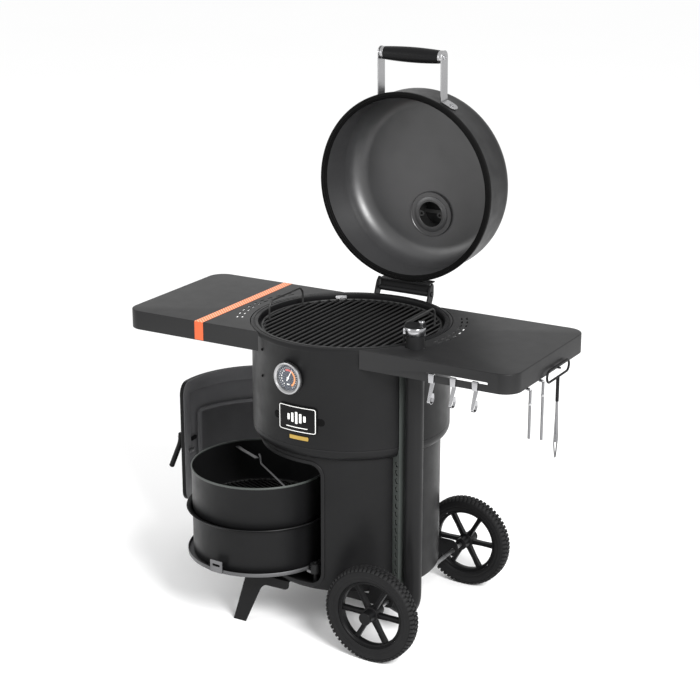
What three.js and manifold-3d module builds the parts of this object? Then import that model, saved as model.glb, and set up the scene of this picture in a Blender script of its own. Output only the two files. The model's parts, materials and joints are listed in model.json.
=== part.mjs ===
// Vertical drum smoker: lidded barrel on two plate legs and two wheels, with side tables, a swing-out fire
// basket behind a curved door, an air intake pipe and hanging tools. Millimetres, +Z up, +X along the tables
// towards the hanging tools, +Y towards the lid hinge. Everything is drawn round the drum's axis with the
// ground at z = 0, and the finished group is shifted so that its box is centred on x = 0 and y = 0.
import * as THREE from "three";
import { mergeVertices } from "three/addons/utils/BufferGeometryUtils.js";
import Module from "manifold-3d";

const wasm = await Module();
wasm.setup();

// ---- driving dimensions -------------------------------------------------------------------------------
const GAP = 0.3; // clearance left between touching parts
const HUG = 0.9; // the same where one curved sheet follows another
const RUN = 0.15; // running clearance of a bore round its pin
const SHEET = 2.5; // steel sheet

const UPPER_RADIUS = 297; // upper barrel, outside
const LOWER_RADIUS = 270; // lower drum, outside
const DRUM_FLOOR = 157; // underside of the drum
const NECK_START = 562; // where the lower drum begins to flare
const SEAM = 612; // where the upper barrel sits on the flare
const RIM_TOP = 920.5; // top of the barrel's rolled rim
const DRUM_SEGMENTS = 48;
const TRAY_SEGMENTS = 40;

const TABLE_TOP = 920;
const TABLE_SKIRT = 58;
const TABLE_FRONT = -250;
const TABLE_BACK = 250;
const TABLE_END = 649;
const TABLE_CORNER = 52;
const TABLE_CUT = 302; // radius of the cut round the barrel
const STRIP = { from: -393.5, to: -363, thick: 0.6, sunk: 0.6 }; // coloured strip across the left table

const OPENING = { from: -140, to: 10.8, bottom: 176, top: 552, corner: 36 }; // degrees from the front
const DOOR = { from: -145, to: 14.2, bottom: 158.5, top: 574, corner: 40 };
const DOOR_OUTER = 290;
const DOOR_INNER = 275;
const DOOR_PIVOT = { radius: 310, angle: -154.3 };
const DOOR_OPEN = 90.8; // degrees that the door stands open

const LATCH = { angle: 2.7, z: 366 };

const TRAY_PIVOT = { radius: 245.7, angle: 4.2 };
const TRAY_OPEN = 69.5; // degrees that the tray stands swung out
const TRAY_BOTTOM = 203;

const LID_RIM = 295;
const LID_WALL = 288;
const LID_DEPTH = 190;
const LID_CORNER = 64;
const LID_BASE = 921.5; // rim of the closed lid
const LID_OPEN = 89;
const HINGE = { y: 328, z: 930 };

const WHEEL_RADIUS = 145.8;
const WHEEL_WIDTH = 45;
const AXLE = { x: 245, z: WHEEL_RADIUS };
const TRACK = 306; // wheel centre from the drum's axis

const GRATE_BOTTOM = 901.5;

const PIPE = { radius: 26.5, distance: 328, angle: 63.4, inlet: 140, top: 980, low: 95, bend: 68 };

// ---- small helpers ------------------------------------------------------------------------------------
const rad = THREE.MathUtils.degToRad;

/** Point at a distance from the drum's axis, at an angle in degrees from the front towards +X. */
function polar(distance, angle, z) {
  return new THREE.Vector3(distance * Math.sin(rad(angle)), -distance * Math.cos(rad(angle)), z);
}

/** Evenly spaced numbers from a to b, both ends included. */
function steps(a, b, count) {
  return Array.from({ length: count + 1 }, (_, i) => a + ((b - a) * i) / count);
}

/** A closed, outward facing, indexed solid made from any triangle geometry. */
function solid(geometry) {
  geometry.deleteAttribute("normal");
  geometry.deleteAttribute("uv");
  const merged = mergeVertices(geometry, 1e-3);
  const place = merged.attributes.position;
  const kept = [];
  let volume = 0;
  const corner = [new THREE.Vector3(), new THREE.Vector3(), new THREE.Vector3()];
  for (let i = 0; i < merged.index.count; i += 3) {
    const face = [merged.index.getX(i), merged.index.getX(i + 1), merged.index.getX(i + 2)];
    if (face[0] === face[1] || face[1] === face[2] || face[2] === face[0]) continue;
    kept.push(face);
    face.forEach((vertex, k) => corner[k].fromBufferAttribute(place, vertex));
    volume += corner[0].dot(corner[1].clone().cross(corner[2]));
  }
  merged.setIndex(kept.flatMap((face) => (volume < 0 ? [face[0], face[2], face[1]] : face)));
  merged.computeVertexNormals();
  return merged;
}

function toManifold(geometry) {
  return new wasm.Manifold(
    new wasm.Mesh({
      numProp: 3,
      vertProperties: new Float32Array(geometry.attributes.position.array),
      triVerts: new Uint32Array(geometry.index.array),
    }),
  );
}

function fromManifold(shape) {
  const mesh = shape.getMesh();
  const geometry = new THREE.BufferGeometry();
  geometry.setAttribute("position", new THREE.Float32BufferAttribute(mesh.vertProperties, 3));
  geometry.setIndex(Array.from(mesh.triVerts));
  return solid(geometry);
}

function join(...parts) {
  return fromManifold(parts.map(toManifold).reduce((all, part) => all.add(part)));
}

function cut(body, ...tools) {
  return fromManifold(tools.map(toManifold).reduce((all, tool) => all.subtract(tool), toManifold(body)));
}

function box(x, y, z) {
  const geometry = new THREE.BoxGeometry(x[1] - x[0], y[1] - y[0], z[1] - z[0]);
  geometry.translate((x[0] + x[1]) / 2, (y[0] + y[1]) / 2, (z[0] + z[1]) / 2);
  return solid(geometry);
}

/** Solid of revolution about Z from [radius, height] points. */
function lathe(profile, segments = DRUM_SEGMENTS) {
  const points = profile.map(([r, z]) => new THREE.Vector2(r, z));
  const onAxis = profile[0][0] === 0 && profile[profile.length - 1][0] === 0;
  if (!onAxis) points.push(points[0].clone());
  const geometry = new THREE.LatheGeometry(points, segments);
  geometry.rotateX(Math.PI / 2);
  return solid(geometry);
}

/** Flat ring or disc standing on its own axis Z. */
function ring(inner, outer, bottom, top, segments = DRUM_SEGMENTS) {
  if (inner === 0) return lathe([[0, bottom], [outer, bottom], [outer, top], [0, top]], segments);
  return lathe([[inner, bottom], [outer, bottom], [outer, top], [inner, top]], segments);
}

/** Sheet bent round the drum's axis, between two radii, with its lower and upper edge given per angle. */
function bent(inner, outer, angles, low, high) {
  const positions = [];
  angles.forEach((angle) => {
    const [bottom, top] = [low(angle), high(angle)];
    positions.push(polar(inner, angle, bottom), polar(inner, angle, top));
    positions.push(polar(outer, angle, top), polar(outer, angle, bottom));
  });
  const index = [0, 1, 2, 0, 2, 3];
  for (let i = 0; i < angles.length - 1; i += 1) {
    for (let side = 0; side < 4; side += 1) {
      const [a, b] = [4 * i + side, 4 * i + ((side + 1) % 4)];
      index.push(a, a + 4, b + 4, a, b + 4, b);
    }
  }
  const last = 4 * (angles.length - 1);
  index.push(last, last + 2, last + 1, last, last + 3, last + 2);
  const geometry = new THREE.BufferGeometry().setFromPoints(positions);
  geometry.setIndex(index);
  return solid(geometry);
}

/** Bent sheet with rounded corners. */
function bentPanel(inner, outer, { from, to, bottom, top, corner }) {
  const turn = THREE.MathUtils.radToDeg(corner / outer);
  const rounding = [0, 0.06, 0.24, 0.5, 1];
  const angles = [
    ...rounding.map((part) => from + part * turn),
    ...steps(from + turn, to - turn, 20).slice(1, -1),
    ...rounding.map((part) => to - part * turn).reverse(),
  ];
  const rise = (angle) => {
    const near = Math.min(angle - from, to - angle, turn) / turn;
    return corner * (1 - Math.sqrt(Math.max(0, 1 - (1 - near) ** 2)));
  };
  return bent(inner, outer, angles, (angle) => bottom + rise(angle), (angle) => top - rise(angle));
}

function grown({ from, to, bottom, top, corner }, by) {
  const turn = THREE.MathUtils.radToDeg(by / LOWER_RADIUS);
  return { from: from - turn, to: to + turn, bottom: bottom - by, top: top + by, corner: corner + by };
}

/** Polyline through corners, each rounded with an arc-like curve. */
function rounded(corners, radius, count = 5) {
  const path = [corners[0]];
  for (let i = 1; i < corners.length - 1; i += 1) {
    const [before, here, after] = [corners[i - 1], corners[i], corners[i + 1]];
    const reach = Math.min(radius, here.distanceTo(before) / 2, here.distanceTo(after) / 2);
    const start = here.clone().add(before.clone().sub(here).setLength(reach));
    const end = here.clone().add(after.clone().sub(here).setLength(reach));
    path.push(...new THREE.QuadraticBezierCurve3(start, here, end).getPoints(count));
  }
  path.push(corners[corners.length - 1]);
  return path;
}

/** Round bar that follows a path; a closed path makes a loop. */
function rod(path, radius, sides = 8, closed = false) {
  const count = path.length;
  const positions = [];
  let normal = null;
  path.forEach((point, i) => {
    const before = path[closed ? (i + count - 1) % count : Math.max(i - 1, 0)];
    const after = path[closed ? (i + 1) % count : Math.min(i + 1, count - 1)];
    const tangent = after.clone().sub(before).normalize();
    if (normal === null) {
      const helper = Math.abs(tangent.z) < 0.9 ? new THREE.Vector3(0, 0, 1) : new THREE.Vector3(1, 0, 0);
      normal = helper.cross(tangent).normalize();
    }
    normal.addScaledVector(tangent, -normal.dot(tangent)).normalize();
    const other = tangent.clone().cross(normal);
    for (let k = 0; k < sides; k += 1) {
      const angle = (2 * Math.PI * k) / sides;
      const offset = normal.clone().multiplyScalar(Math.cos(angle) * radius);
      positions.push(point.clone().add(offset).addScaledVector(other, Math.sin(angle) * radius));
    }
  });
  const index = [];
  const spans = closed ? count : count - 1;
  for (let i = 0; i < spans; i += 1) {
    const next = (i + 1) % count;
    for (let k = 0; k < sides; k += 1) {
      const j = (k + 1) % sides;
      const [a, b, c, d] = [i * sides + k, i * sides + j, next * sides + j, next * sides + k];
      index.push(a, b, c, a, c, d);
    }
  }
  if (!closed) {
    const end = (count - 1) * sides;
    for (let k = 1; k < sides - 1; k += 1) {
      index.push(0, k + 1, k, end, end + k, end + k + 1);
    }
  }
  const geometry = new THREE.BufferGeometry().setFromPoints(positions);
  geometry.setIndex(index);
  return solid(geometry);
}

/** Outline of a flat strip of a given thickness that follows a 2D path. */
function stripShape(path, thickness) {
  const side = (sign) =>
    path.map((point, i) => {
      const before = path[Math.max(i - 1, 0)];
      const after = path[Math.min(i + 1, path.length - 1)];
      const along = after.clone().sub(before).normalize();
      return new THREE.Vector2(-along.y, along.x).multiplyScalar((sign * thickness) / 2).add(point);
    });
  return new THREE.Shape([...side(1), ...side(-1).reverse()]);
}

/** A shape drawn in (y, z) and extruded along X from one x to another. */
function alongX(shape, from, to) {
  const geometry = new THREE.ExtrudeGeometry(shape, { depth: to - from, bevelEnabled: false, curveSegments: 6 });
  geometry.applyMatrix4(new THREE.Matrix4().set(0, 0, 1, from, 1, 0, 0, 0, 0, 1, 0, 0, 0, 0, 0, 1));
  return solid(geometry);
}

/** A shape drawn in (x, z) and extruded along Y from one y to another. */
function alongY(shape, from, to) {
  const geometry = new THREE.ExtrudeGeometry(shape, { depth: to - from, bevelEnabled: false, curveSegments: 6 });
  geometry.applyMatrix4(new THREE.Matrix4().set(1, 0, 0, 0, 0, 0, 1, from, 0, 1, 0, 0, 0, 0, 0, 1));
  return solid(geometry);
}

/** A shape drawn in (x, y) and extruded upwards. */
function upwards(shape, from, to, curveSegments = 8) {
  const geometry = new THREE.ExtrudeGeometry(shape, { depth: to - from, bevelEnabled: false, curveSegments });
  geometry.translate(0, 0, from);
  return solid(geometry);
}

/** Turns a geometry by degrees about a vertical line. */
function swung(geometry, pivot, degrees) {
  geometry.translate(-pivot.x, -pivot.y, 0).rotateZ(rad(degrees)).translate(pivot.x, pivot.y, 0);
  return geometry;
}

/** Stands a piece drawn on its own Z axis out from the drum, facing outwards at an angle. */
function outwards(geometry, distance, angle, z) {
  geometry.rotateX(Math.PI / 2).translate(0, -distance, 0).rotateZ(rad(angle)).translate(0, 0, z);
  return geometry;
}

const v2 = (x, y) => new THREE.Vector2(x, y);
const v3 = (x, y, z) => new THREE.Vector3(x, y, z);

// ---- materials ----------------------------------------------------------------------------------------
const material = (color, metalness, roughness) =>
  new THREE.MeshStandardMaterial({ color, metalness, roughness });
const blackPaint = material(0x1d1d1f, 0.3, 0.5);
const enamel = material(0x2b2b2d, 0.2, 0.45);
const tablePaint = material(0x28282a, 0.3, 0.55);
const orangePaint = material(0xd8622c, 0.0, 0.6);
const steel = material(0xb9bbbe, 1.0, 0.3);
const chrome = material(0xd9dbde, 1.0, 0.12);
const castIron = material(0x202022, 0.6, 0.6);
const rubber = material(0x121213, 0.0, 0.85);
const plastic = material(0x19191a, 0.0, 0.5);
const dialPrint = material(0x1c2634, 0.0, 0.4);
const badgeEnamel = material(0x141414, 0.2, 0.4);
const brass = material(0xc2a04a, 0.8, 0.4);

const smoker = new THREE.Group();
smoker.name = "drum_smoker";

function add(name, geometry, look) {
  const mesh = new THREE.Mesh(geometry, look);
  mesh.name = name;
  smoker.add(mesh);
}

// ---- barrel -------------------------------------------------------------------------------------------
function upperBarrel() {
  const beadBottom = 903;
  const beadRadius = 300.5;
  const mouth = 277.5; // inside radius of the rim
  const lipBottom = GRATE_BOTTOM + 1.5;
  return lathe([
    [UPPER_RADIUS - SHEET, SEAM + GAP], [UPPER_RADIUS, SEAM + GAP], [UPPER_RADIUS, beadBottom],
    [beadRadius, beadBottom + 4], [beadRadius, RIM_TOP - SHEET], [beadRadius - 2, RIM_TOP],
    [mouth, RIM_TOP], [mouth, lipBottom], [mouth + SHEET, lipBottom],
    [mouth + SHEET, RIM_TOP - SHEET], [UPPER_RADIUS - SHEET, RIM_TOP - SHEET],
  ]);
}

/** Flare between the lower drum and the seam, for the outer skin or the inner one. */
function neck(offset) {
  const rise = SEAM - NECK_START;
  return steps(0, 1, 4).map((t) => [
    LOWER_RADIUS - offset + ((UPPER_RADIUS - LOWER_RADIUS) * (1 - Math.cos(Math.PI * t))) / 2,
    NECK_START + rise * t,
  ]);
}

function lowerBarrel() {
  const foot = 6; // rounding at the foot of the drum
  const shell = lathe([
    [0, DRUM_FLOOR], [LOWER_RADIUS - foot, DRUM_FLOOR], [LOWER_RADIUS, DRUM_FLOOR + foot], ...neck(0),
    ...neck(SHEET).reverse(), [LOWER_RADIUS - SHEET, DRUM_FLOOR + SHEET], [0, DRUM_FLOOR + SHEET],
  ]);
  const window = bentPanel(LOWER_RADIUS - 20, LOWER_RADIUS + 20, OPENING);
  const inlet = polar(PIPE.inlet, PIPE.angle, 0);
  const airHole = ring(0, PIPE.radius - SHEET, DRUM_FLOOR - 5, DRUM_FLOOR + 5, 20).translate(inlet.x, inlet.y, 0);
  return cut(shell, window, airHole);
}

function doorFrame() {
  const wide = 11;
  const outer = bentPanel(LOWER_RADIUS + HUG, LOWER_RADIUS + 3, grown(OPENING, wide));
  return cut(outer, bentPanel(LOWER_RADIUS - 20, LOWER_RADIUS + 20, OPENING));
}

/** Ring shelf that carries the cooking grate. */
function grateLedge() {
  return ring(258, UPPER_RADIUS - SHEET - GAP, GRATE_BOTTOM - GAP - SHEET, GRATE_BOTTOM - GAP);
}

add("upper_barrel", upperBarrel(), blackPaint);
add("lower_barrel", lowerBarrel(), blackPaint);
add("door_frame", doorFrame(), blackPaint);
add("grate_ledge", grateLedge(), blackPaint);

// ---- side tables --------------------------------------------------------------------------------------
/** Outline of the right table seen from above, drawn in by a margin. */
function tableOutline(end, margin, cutRadius) {
  const [front, back] = [TABLE_FRONT + margin, TABLE_BACK - margin];
  const corner = TABLE_CORNER - margin;
  const across = end - margin - corner;
  const arc = (x, y, radius, from, to, count) =>
    steps(from, to, count).map((angle) => v2(x + radius * Math.cos(angle), y + radius * Math.sin(angle)));
  const [low, high] = [Math.asin(front / cutRadius), Math.asin(back / cutRadius)];
  return new THREE.Shape([
    ...arc(across, front + corner, corner, -Math.PI / 2, 0, 5),
    ...arc(across, back - corner, corner, 0, Math.PI / 2, 5),
    ...arc(0, 0, cutRadius, high, low, 20),
  ]);
}

/** Short slot that lies along an arc round the barrel, as a hole in a table. */
function arcSlot(distance, middle) {
  const half = 11 / distance;
  const width = 5.5;
  const corner = (radius, angle) => v2(radius * Math.cos(angle), radius * Math.sin(angle));
  return new THREE.Path([
    corner(distance + width / 2, middle - half), corner(distance + width / 2, middle + half),
    corner(distance - width / 2, middle + half), corner(distance - width / 2, middle - half),
  ]);
}

/** Folded table: flat top with a skirt on its three outer edges, drawn for the right side. */
function table(end, slotAngles) {
  const outline = tableOutline(end, 0, TABLE_CUT);
  slotAngles.forEach((angle) => {
    outline.holes.push(arcSlot(328, rad(angle)), arcSlot(343, rad(angle)));
  });
  const bottom = TABLE_TOP - TABLE_SKIRT;
  const pocket = upwards(tableOutline(end, SHEET, TABLE_CUT - 10), bottom - 1, TABLE_TOP - SHEET);
  return cut(upwards(outline, bottom, TABLE_TOP), pocket);
}

const SLOT_PITCH = 6.2; // degrees between the arc slots

function leftTable() {
  const angles = steps(-4, 4, 8).map((i) => i * SLOT_PITCH);
  const groove = box(
    [STRIP.from - GAP, STRIP.to + GAP], [TABLE_FRONT - 1, TABLE_BACK + 1], [TABLE_TOP - STRIP.sunk, TABLE_TOP + 1],
  );
  return cut(solid(table(TABLE_END, angles).scale(-1, 1, 1)), groove);
}

function rightTable() {
  const angles = steps(-2, 5, 7).map((i) => i * SLOT_PITCH); // none beside the intake pipe
  const pipe = polar(PIPE.distance, PIPE.angle, 0);
  const pipeHole = ring(0, PIPE.radius + 2, TABLE_TOP - 6, TABLE_TOP + 6, 24).translate(pipe.x, pipe.y, 0);
  const hookSlot = box([381, 571], [TABLE_FRONT - 1, TABLE_FRONT + 4], [876, 890]);
  return cut(table(TABLE_END, angles), pipeHole, hookSlot);
}

/** Thin strip folded over the left table, laid in a shallow groove in its top. */
function orangeStrip() {
  const bottom = TABLE_TOP - TABLE_SKIRT + 2;
  const arch = (side, top, low) => new THREE.Shape([
    v2(TABLE_BACK + side, low), v2(TABLE_BACK + side, top), v2(TABLE_FRONT - side, top), v2(TABLE_FRONT - side, low),
  ]);
  const outer = arch(STRIP.thick + GAP, TABLE_TOP - STRIP.sunk + GAP + STRIP.thick, bottom);
  const inner = arch(GAP, TABLE_TOP - STRIP.sunk + GAP, bottom - 10);
  return cut(alongX(outer, STRIP.from, STRIP.to), alongX(inner, STRIP.from - 1, STRIP.to + 1));
}

/** Curved Z-shaped bracket between the barrel and the underside of a table. */
function tableBracket(from, to) {
  const wall = UPPER_RADIUS + HUG;
  const shelf = 322;
  const angles = steps(from, to, 10);
  const flat = (value) => () => value;
  const [foot, elbow] = [845, 900]; // lower edge on the barrel and underside of the shelf
  const leg = bent(wall, wall + SHEET, angles, flat(foot), flat(elbow + SHEET));
  const arm = bent(wall, shelf, angles, flat(elbow), flat(elbow + SHEET));
  const top = bent(shelf - SHEET, shelf, angles, flat(elbow), flat(TABLE_TOP - SHEET - GAP));
  return join(leg, arm, top);
}

add("left_table", leftTable(), tablePaint);
add("right_table", rightTable(), tablePaint);
add("orange_strip", orangeStrip(), orangePaint);
add("table_bracket_left", tableBracket(-125, -60), blackPaint);
add("table_bracket_right", tableBracket(76, 125), blackPaint);

// ---- air intake ---------------------------------------------------------------------------------------
/** Open pipe that runs down beside the drum, in under it and up to the hole in its floor. */
function intakePipe() {
  const along = (beyond) => rounded([
    polar(PIPE.distance, PIPE.angle, PIPE.top + beyond), polar(PIPE.distance, PIPE.angle, PIPE.low),
    polar(PIPE.inlet, PIPE.angle, PIPE.low), polar(PIPE.inlet, PIPE.angle, DRUM_FLOOR - GAP + beyond),
  ], PIPE.bend, 5);
  return cut(rod(along(0), PIPE.radius, 20), rod(along(1), PIPE.radius - SHEET, 20));
}

/** Channel that spaces the pipe from the drum: a flat web behind the pipe and a wall on each side. */
function pipeSpacer() {
  const half = 33;
  const back = PIPE.distance - PIPE.radius - GAP - 3;
  const [bottom, top] = [170, 850];
  const web = box([-half, half], [-back - 2, -back], [bottom, top]);
  const wall = (side) => box([side - 1, side + 1], [-back - 1, -LOWER_RADIUS + 4], [bottom, SEAM - 3]);
  const channel = join(web, wall(1 - half), wall(half - 1));
  const room = lathe([
    [0, bottom - 5], [LOWER_RADIUS + GAP, bottom - 5],
    ...neck(-GAP), [UPPER_RADIUS + GAP, top + 5], [0, top + 5],
  ]);
  return cut(solid(channel.rotateZ(rad(PIPE.angle))), room);
}

function intakeBand() {
  const inner = PIPE.radius + GAP;
  const ear = box([-inner - 9, -inner + 1], [-5, 5], [959, 978]);
  const bore = ring(0, inner, 950, 990, 24);
  const band = cut(join(ring(0, inner + 2.4, 957, 980, 24), ear), bore);
  const centre = polar(PIPE.distance, PIPE.angle, 0);
  return band.rotateZ(rad(20)).translate(centre.x, centre.y, 0);
}

function intakeCap() {
  const centre = polar(PIPE.distance, PIPE.angle, 0);
  const bottom = PIPE.top + GAP + 0.3;
  const plate = ring(0, 31, bottom, bottom + 3.5, 28);
  const lug = box([-40, -20], [-9, 9], [bottom, bottom + 3.5]);
  return join(plate, lug).rotateZ(rad(-30)).translate(centre.x, centre.y, 0);
}

function intakeKnob() {
  const centre = polar(PIPE.distance, PIPE.angle, 0);
  const bottom = PIPE.top + 2 * GAP + 3.5 + GAP;
  const knob = lathe([[0, bottom], [5, bottom], [5, bottom + 4], [8, bottom + 5], [8, bottom + 10],
    [0, bottom + 11]], 16);
  return knob.translate(centre.x + 12, centre.y + 14, 0);
}

add("intake_pipe", intakePipe(), blackPaint);
add("pipe_spacer", pipeSpacer(), enamel);
add("intake_band", intakeBand(), chrome);
add("intake_cap", intakeCap(), enamel);
add("intake_knob", intakeKnob(), chrome);

// ---- thermometer and badge ----------------------------------------------------------------------------
const GAUGE = { angle: -6.5, z: 817, radius: 47.5 };

function gaugeCase() {
  const depth = 15;
  const rim = GAUGE.radius;
  const body = lathe([
    [0, 0], [rim - 6, 0], [rim, 3], [rim, depth - 2], [rim - 3, depth], [rim - 8, depth - 4],
    [rim - 9, 5], [0, 5],
  ], 28);
  return outwards(body, UPPER_RADIUS + 0.6, GAUGE.angle, GAUGE.z);
}

function gaugeDial() {
  return outwards(ring(0, GAUGE.radius - 10, 5.3, 6.5, 32), UPPER_RADIUS + 0.6, GAUGE.angle, GAUGE.z);
}

function gaugeNeedle() {
  const reach = 30;
  const shape = new THREE.Shape([v2(-2.2, -10), v2(2.2, -10), v2(0.8, reach), v2(-0.8, reach)]);
  const needle = upwards(shape, 6.8, 8.0).rotateZ(rad(-28));
  return outwards(needle, UPPER_RADIUS + 0.6, GAUGE.angle, GAUGE.z);
}

/** Plain name plate with rounded corners, left without lettering. */
function badgePlate() {
  const edge = { from: -14.4, to: 10.9, bottom: 655, top: 737, corner: 10 };
  return bentPanel(UPPER_RADIUS + 1.5, UPPER_RADIUS + 4, edge);
}

function badgeBar() {
  return bent(UPPER_RADIUS + GAP, UPPER_RADIUS + 3.5, steps(-6.6, 5.5, 5), () => 634, () => 646);
}

add("thermometer_case", gaugeCase(), steel);
add("thermometer_dial", gaugeDial(), dialPrint);
add("thermometer_needle", gaugeNeedle(), steel);
add("badge_plate", badgePlate(), badgeEnamel);
add("badge_bar", badgeBar(), brass);

// ---- legs, axle and wheels ----------------------------------------------------------------------------
/** Plate leg that leans outwards, with a flange folded in under the drum's floor; side is -1 front, 1 back. */
function leg(side) {
  const foot = 284;
  const hip = 262;
  const top = DRUM_FLOOR - GAP;
  const outline = new THREE.Shape();
  outline.moveTo(-252, 0);
  outline.lineTo(-208, 0);
  outline.lineTo(-166, 106);
  outline.quadraticCurveTo(-157, 129, -140, 129);
  outline.lineTo(-82, 129);
  outline.quadraticCurveTo(-64, 129, -64, 146);
  outline.lineTo(-64, top);
  outline.lineTo(-216, top);
  const lean = (foot - hip) / top;
  const plate = alongY(outline, -1.5, 1.5);
  plate.applyMatrix4(new THREE.Matrix4().set(1, 0, 0, 0, 0, 1, -lean, foot, 0, 0, 1, 0, 0, 0, 0, 1));
  const flange = box([-150, -64], [205, hip + 1], [top - 3, top]);
  const whole = join(solid(plate), flange);
  return solid(whole.scale(1, side, 1));
}

/** Plate bracket that carries the axle beside the drum. */
function axleBracket(side) {
  const outline = new THREE.Shape();
  const top = DRUM_FLOOR - GAP;
  outline.moveTo(70, 128);
  outline.lineTo(244, 126);
  outline.quadraticCurveTo(264, 126, 264, 146);
  outline.quadraticCurveTo(264, 176, 240, 180);
  outline.lineTo(186, 180);
  outline.lineTo(182, top);
  outline.lineTo(70, top);
  const bore = new THREE.Path();
  bore.absarc(AXLE.x, AXLE.z, 6 + RUN + GAP, 0, 2 * Math.PI, false);
  outline.holes.push(bore);
  const plate = alongY(outline, 212 * side - 1.5, 212 * side + 1.5);
  const inner = side > 0 ? [176, 212] : [-212, -176];
  return join(plate, box([75, 150], inner, [top - 3, top]));
}

function axle() {
  return rod([v3(AXLE.x, -342, AXLE.z), v3(AXLE.x, 342, AXLE.z)], 6, 24);
}

/** Tyre with blocks of tread round its crown. */
function tyre(side) {
  const half = WHEEL_WIDTH / 2;
  const crown = WHEEL_RADIUS - 4;
  const blockCount = 20;
  const body = lathe([
    [104, -half + 6], [crown - 16, -half], [crown, -half + 10],
    [crown, half - 10], [crown - 16, half], [104, half - 6],
  ], 32);
  const blocks = steps(0, blockCount - 1, blockCount - 1).map((i) => {
    const block = box([crown - 3, WHEEL_RADIUS], [-8, 8], [-half + 5, half - 5]);
    return block.rotateZ((2 * Math.PI * i) / blockCount);
  });
  return join(body, ...blocks).rotateX(Math.PI / 2).translate(AXLE.x, side * TRACK, AXLE.z);
}

/** Six-spoke wheel with a hub that stands out on both sides. */
function wheelRim(side) {
  const half = WHEEL_WIDTH / 2;
  const [outward, inward] = [43, 42]; // hub ends from the wheel's middle
  const felloe = ring(93, 103, -half + 7, half - 7, 32);
  const hub = ring(0, 19, -inward, outward, 16);
  const cap = ring(0, 24, -9, 9, 16);
  const spokes = steps(0, 5, 5).map((i) =>
    box([15, 95], [-7, 7], [-8, 8]).rotateZ((2 * Math.PI * i) / 6),
  );
  const bore = ring(0, 6 + RUN, -inward - 1, outward - 6, 24);
  const whole = cut(join(felloe, hub, cap, ...spokes), bore);
  return whole.rotateX(side < 0 ? Math.PI / 2 : -Math.PI / 2).translate(AXLE.x, side * TRACK, AXLE.z);
}

for (const [name, side] of [["front", -1], ["rear", 1]]) {
  add(`leg_${name}`, leg(side), blackPaint);
  add(`axle_bracket_${name}`, axleBracket(side), blackPaint);
  add(`tyre_${name}`, tyre(side), rubber);
  add(`wheel_rim_${name}`, wheelRim(side), plastic);
}
add("axle", axle(), steel);

// ---- lid, drawn closed round the drum's axis and then swung open --------------------------------------
function opened(geometry) {
  const turned = geometry.translate(0, -HINGE.y, -HINGE.z).rotateX(rad(-LID_OPEN));
  return turned.translate(0, HINGE.y, HINGE.z);
}

const VENT = { y: 122, z: LID_BASE + LID_DEPTH };

function lidProfile(offset) {
  const corner = LID_CORNER - offset;
  const wall = LID_WALL - offset;
  const arc = steps(0, 90, 4).map((angle) => [
    wall - corner + corner * Math.cos(rad(angle)),
    LID_BASE + LID_DEPTH - offset - corner + corner * Math.sin(rad(angle)),
  ]);
  return [...arc, [110, LID_BASE + LID_DEPTH - offset + 5], [0, LID_BASE + LID_DEPTH - offset + 7]];
}

function lidShell() {
  const bead = 13;
  const shell = lathe([
    [0, LID_BASE + LID_DEPTH - SHEET + 7], ...lidProfile(SHEET).reverse().slice(1),
    [LID_WALL - SHEET, LID_BASE], [LID_RIM - 1, LID_BASE], [LID_RIM, LID_BASE + 2],
    [LID_RIM, LID_BASE + bead], [LID_WALL, LID_BASE + bead + 5], ...lidProfile(0),
  ]);
  const hole = ring(0, 44, VENT.z - 30, VENT.z + 30, 28).translate(0, VENT.y, 0);
  return opened(cut(shell, hole));
}

/** Sealing ring inside the lid's rim. */
function lidSeal() {
  const outer = LID_WALL - SHEET - GAP;
  return opened(ring(outer - 9, outer, LID_BASE + 0.5, LID_BASE + 14));
}

const HANDLE = { reach: 400, z: LID_BASE + 58, halfWidth: 21 }; // grip centre, and the arms' half width

/** Flat-bar arm of the lid handle, bent to lie on the lid's side wall and screwed to it; side is -1 or 1. */
function lidArm(side) {
  const x = 108;
  const wall = LID_WALL + GAP + 1.5;
  const start = Math.asin(x / wall);
  const lying = steps(0.17, 0, 5).map((turn) =>
    v2(wall * Math.sin(start + turn), -wall * Math.cos(start + turn)));
  const path = [...lying, v2(x + 0.5, -wall * Math.cos(start) - 8), v2(x, -HANDLE.reach - 16)];
  const geometry = upwards(stripShape(path, 3), HANDLE.z - HANDLE.halfWidth, HANDLE.z + HANDLE.halfWidth);
  return opened(solid(geometry.scale(side, 1, 1)));
}

/** Barrel-shaped grip with a plain ring at each end. */
function lidGrip() {
  const half = 108 - 1.5 - GAP;
  const grip = lathe([
    [0, -half], [19, -half], [19, -half + 11], [20, -half + 11], [22.5, -60], [23.5, 0], [22.5, 60],
    [20, half - 11], [19, half - 11], [19, half], [0, half],
  ], 20);
  return opened(grip.rotateY(Math.PI / 2).translate(0, -HANDLE.reach, HANDLE.z));
}

/** Upper hinge leaf: a bent plate on the lid's wall with a knuckle on the pin. */
function lidHingeLeaf() {
  const [x0, x1] = [-86, 86];
  const plate = box([x0, x1], [296, 300], [LID_BASE + 3, LID_BASE + 50]);
  const tongue = box([x0, x1], [297, HINGE.y + 3], [HINGE.z + 4, HINGE.z + 9]);
  const knuckle = rod([v3(x0, HINGE.y, HINGE.z), v3(x1, HINGE.y, HINGE.z)], 9, 16);
  const bore = rod([v3(x0 - 1, HINGE.y, HINGE.z), v3(x1 + 1, HINGE.y, HINGE.z)], 4 + 2 * RUN, 16);
  return opened(cut(join(plate, tongue, knuckle), bore));
}

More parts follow.
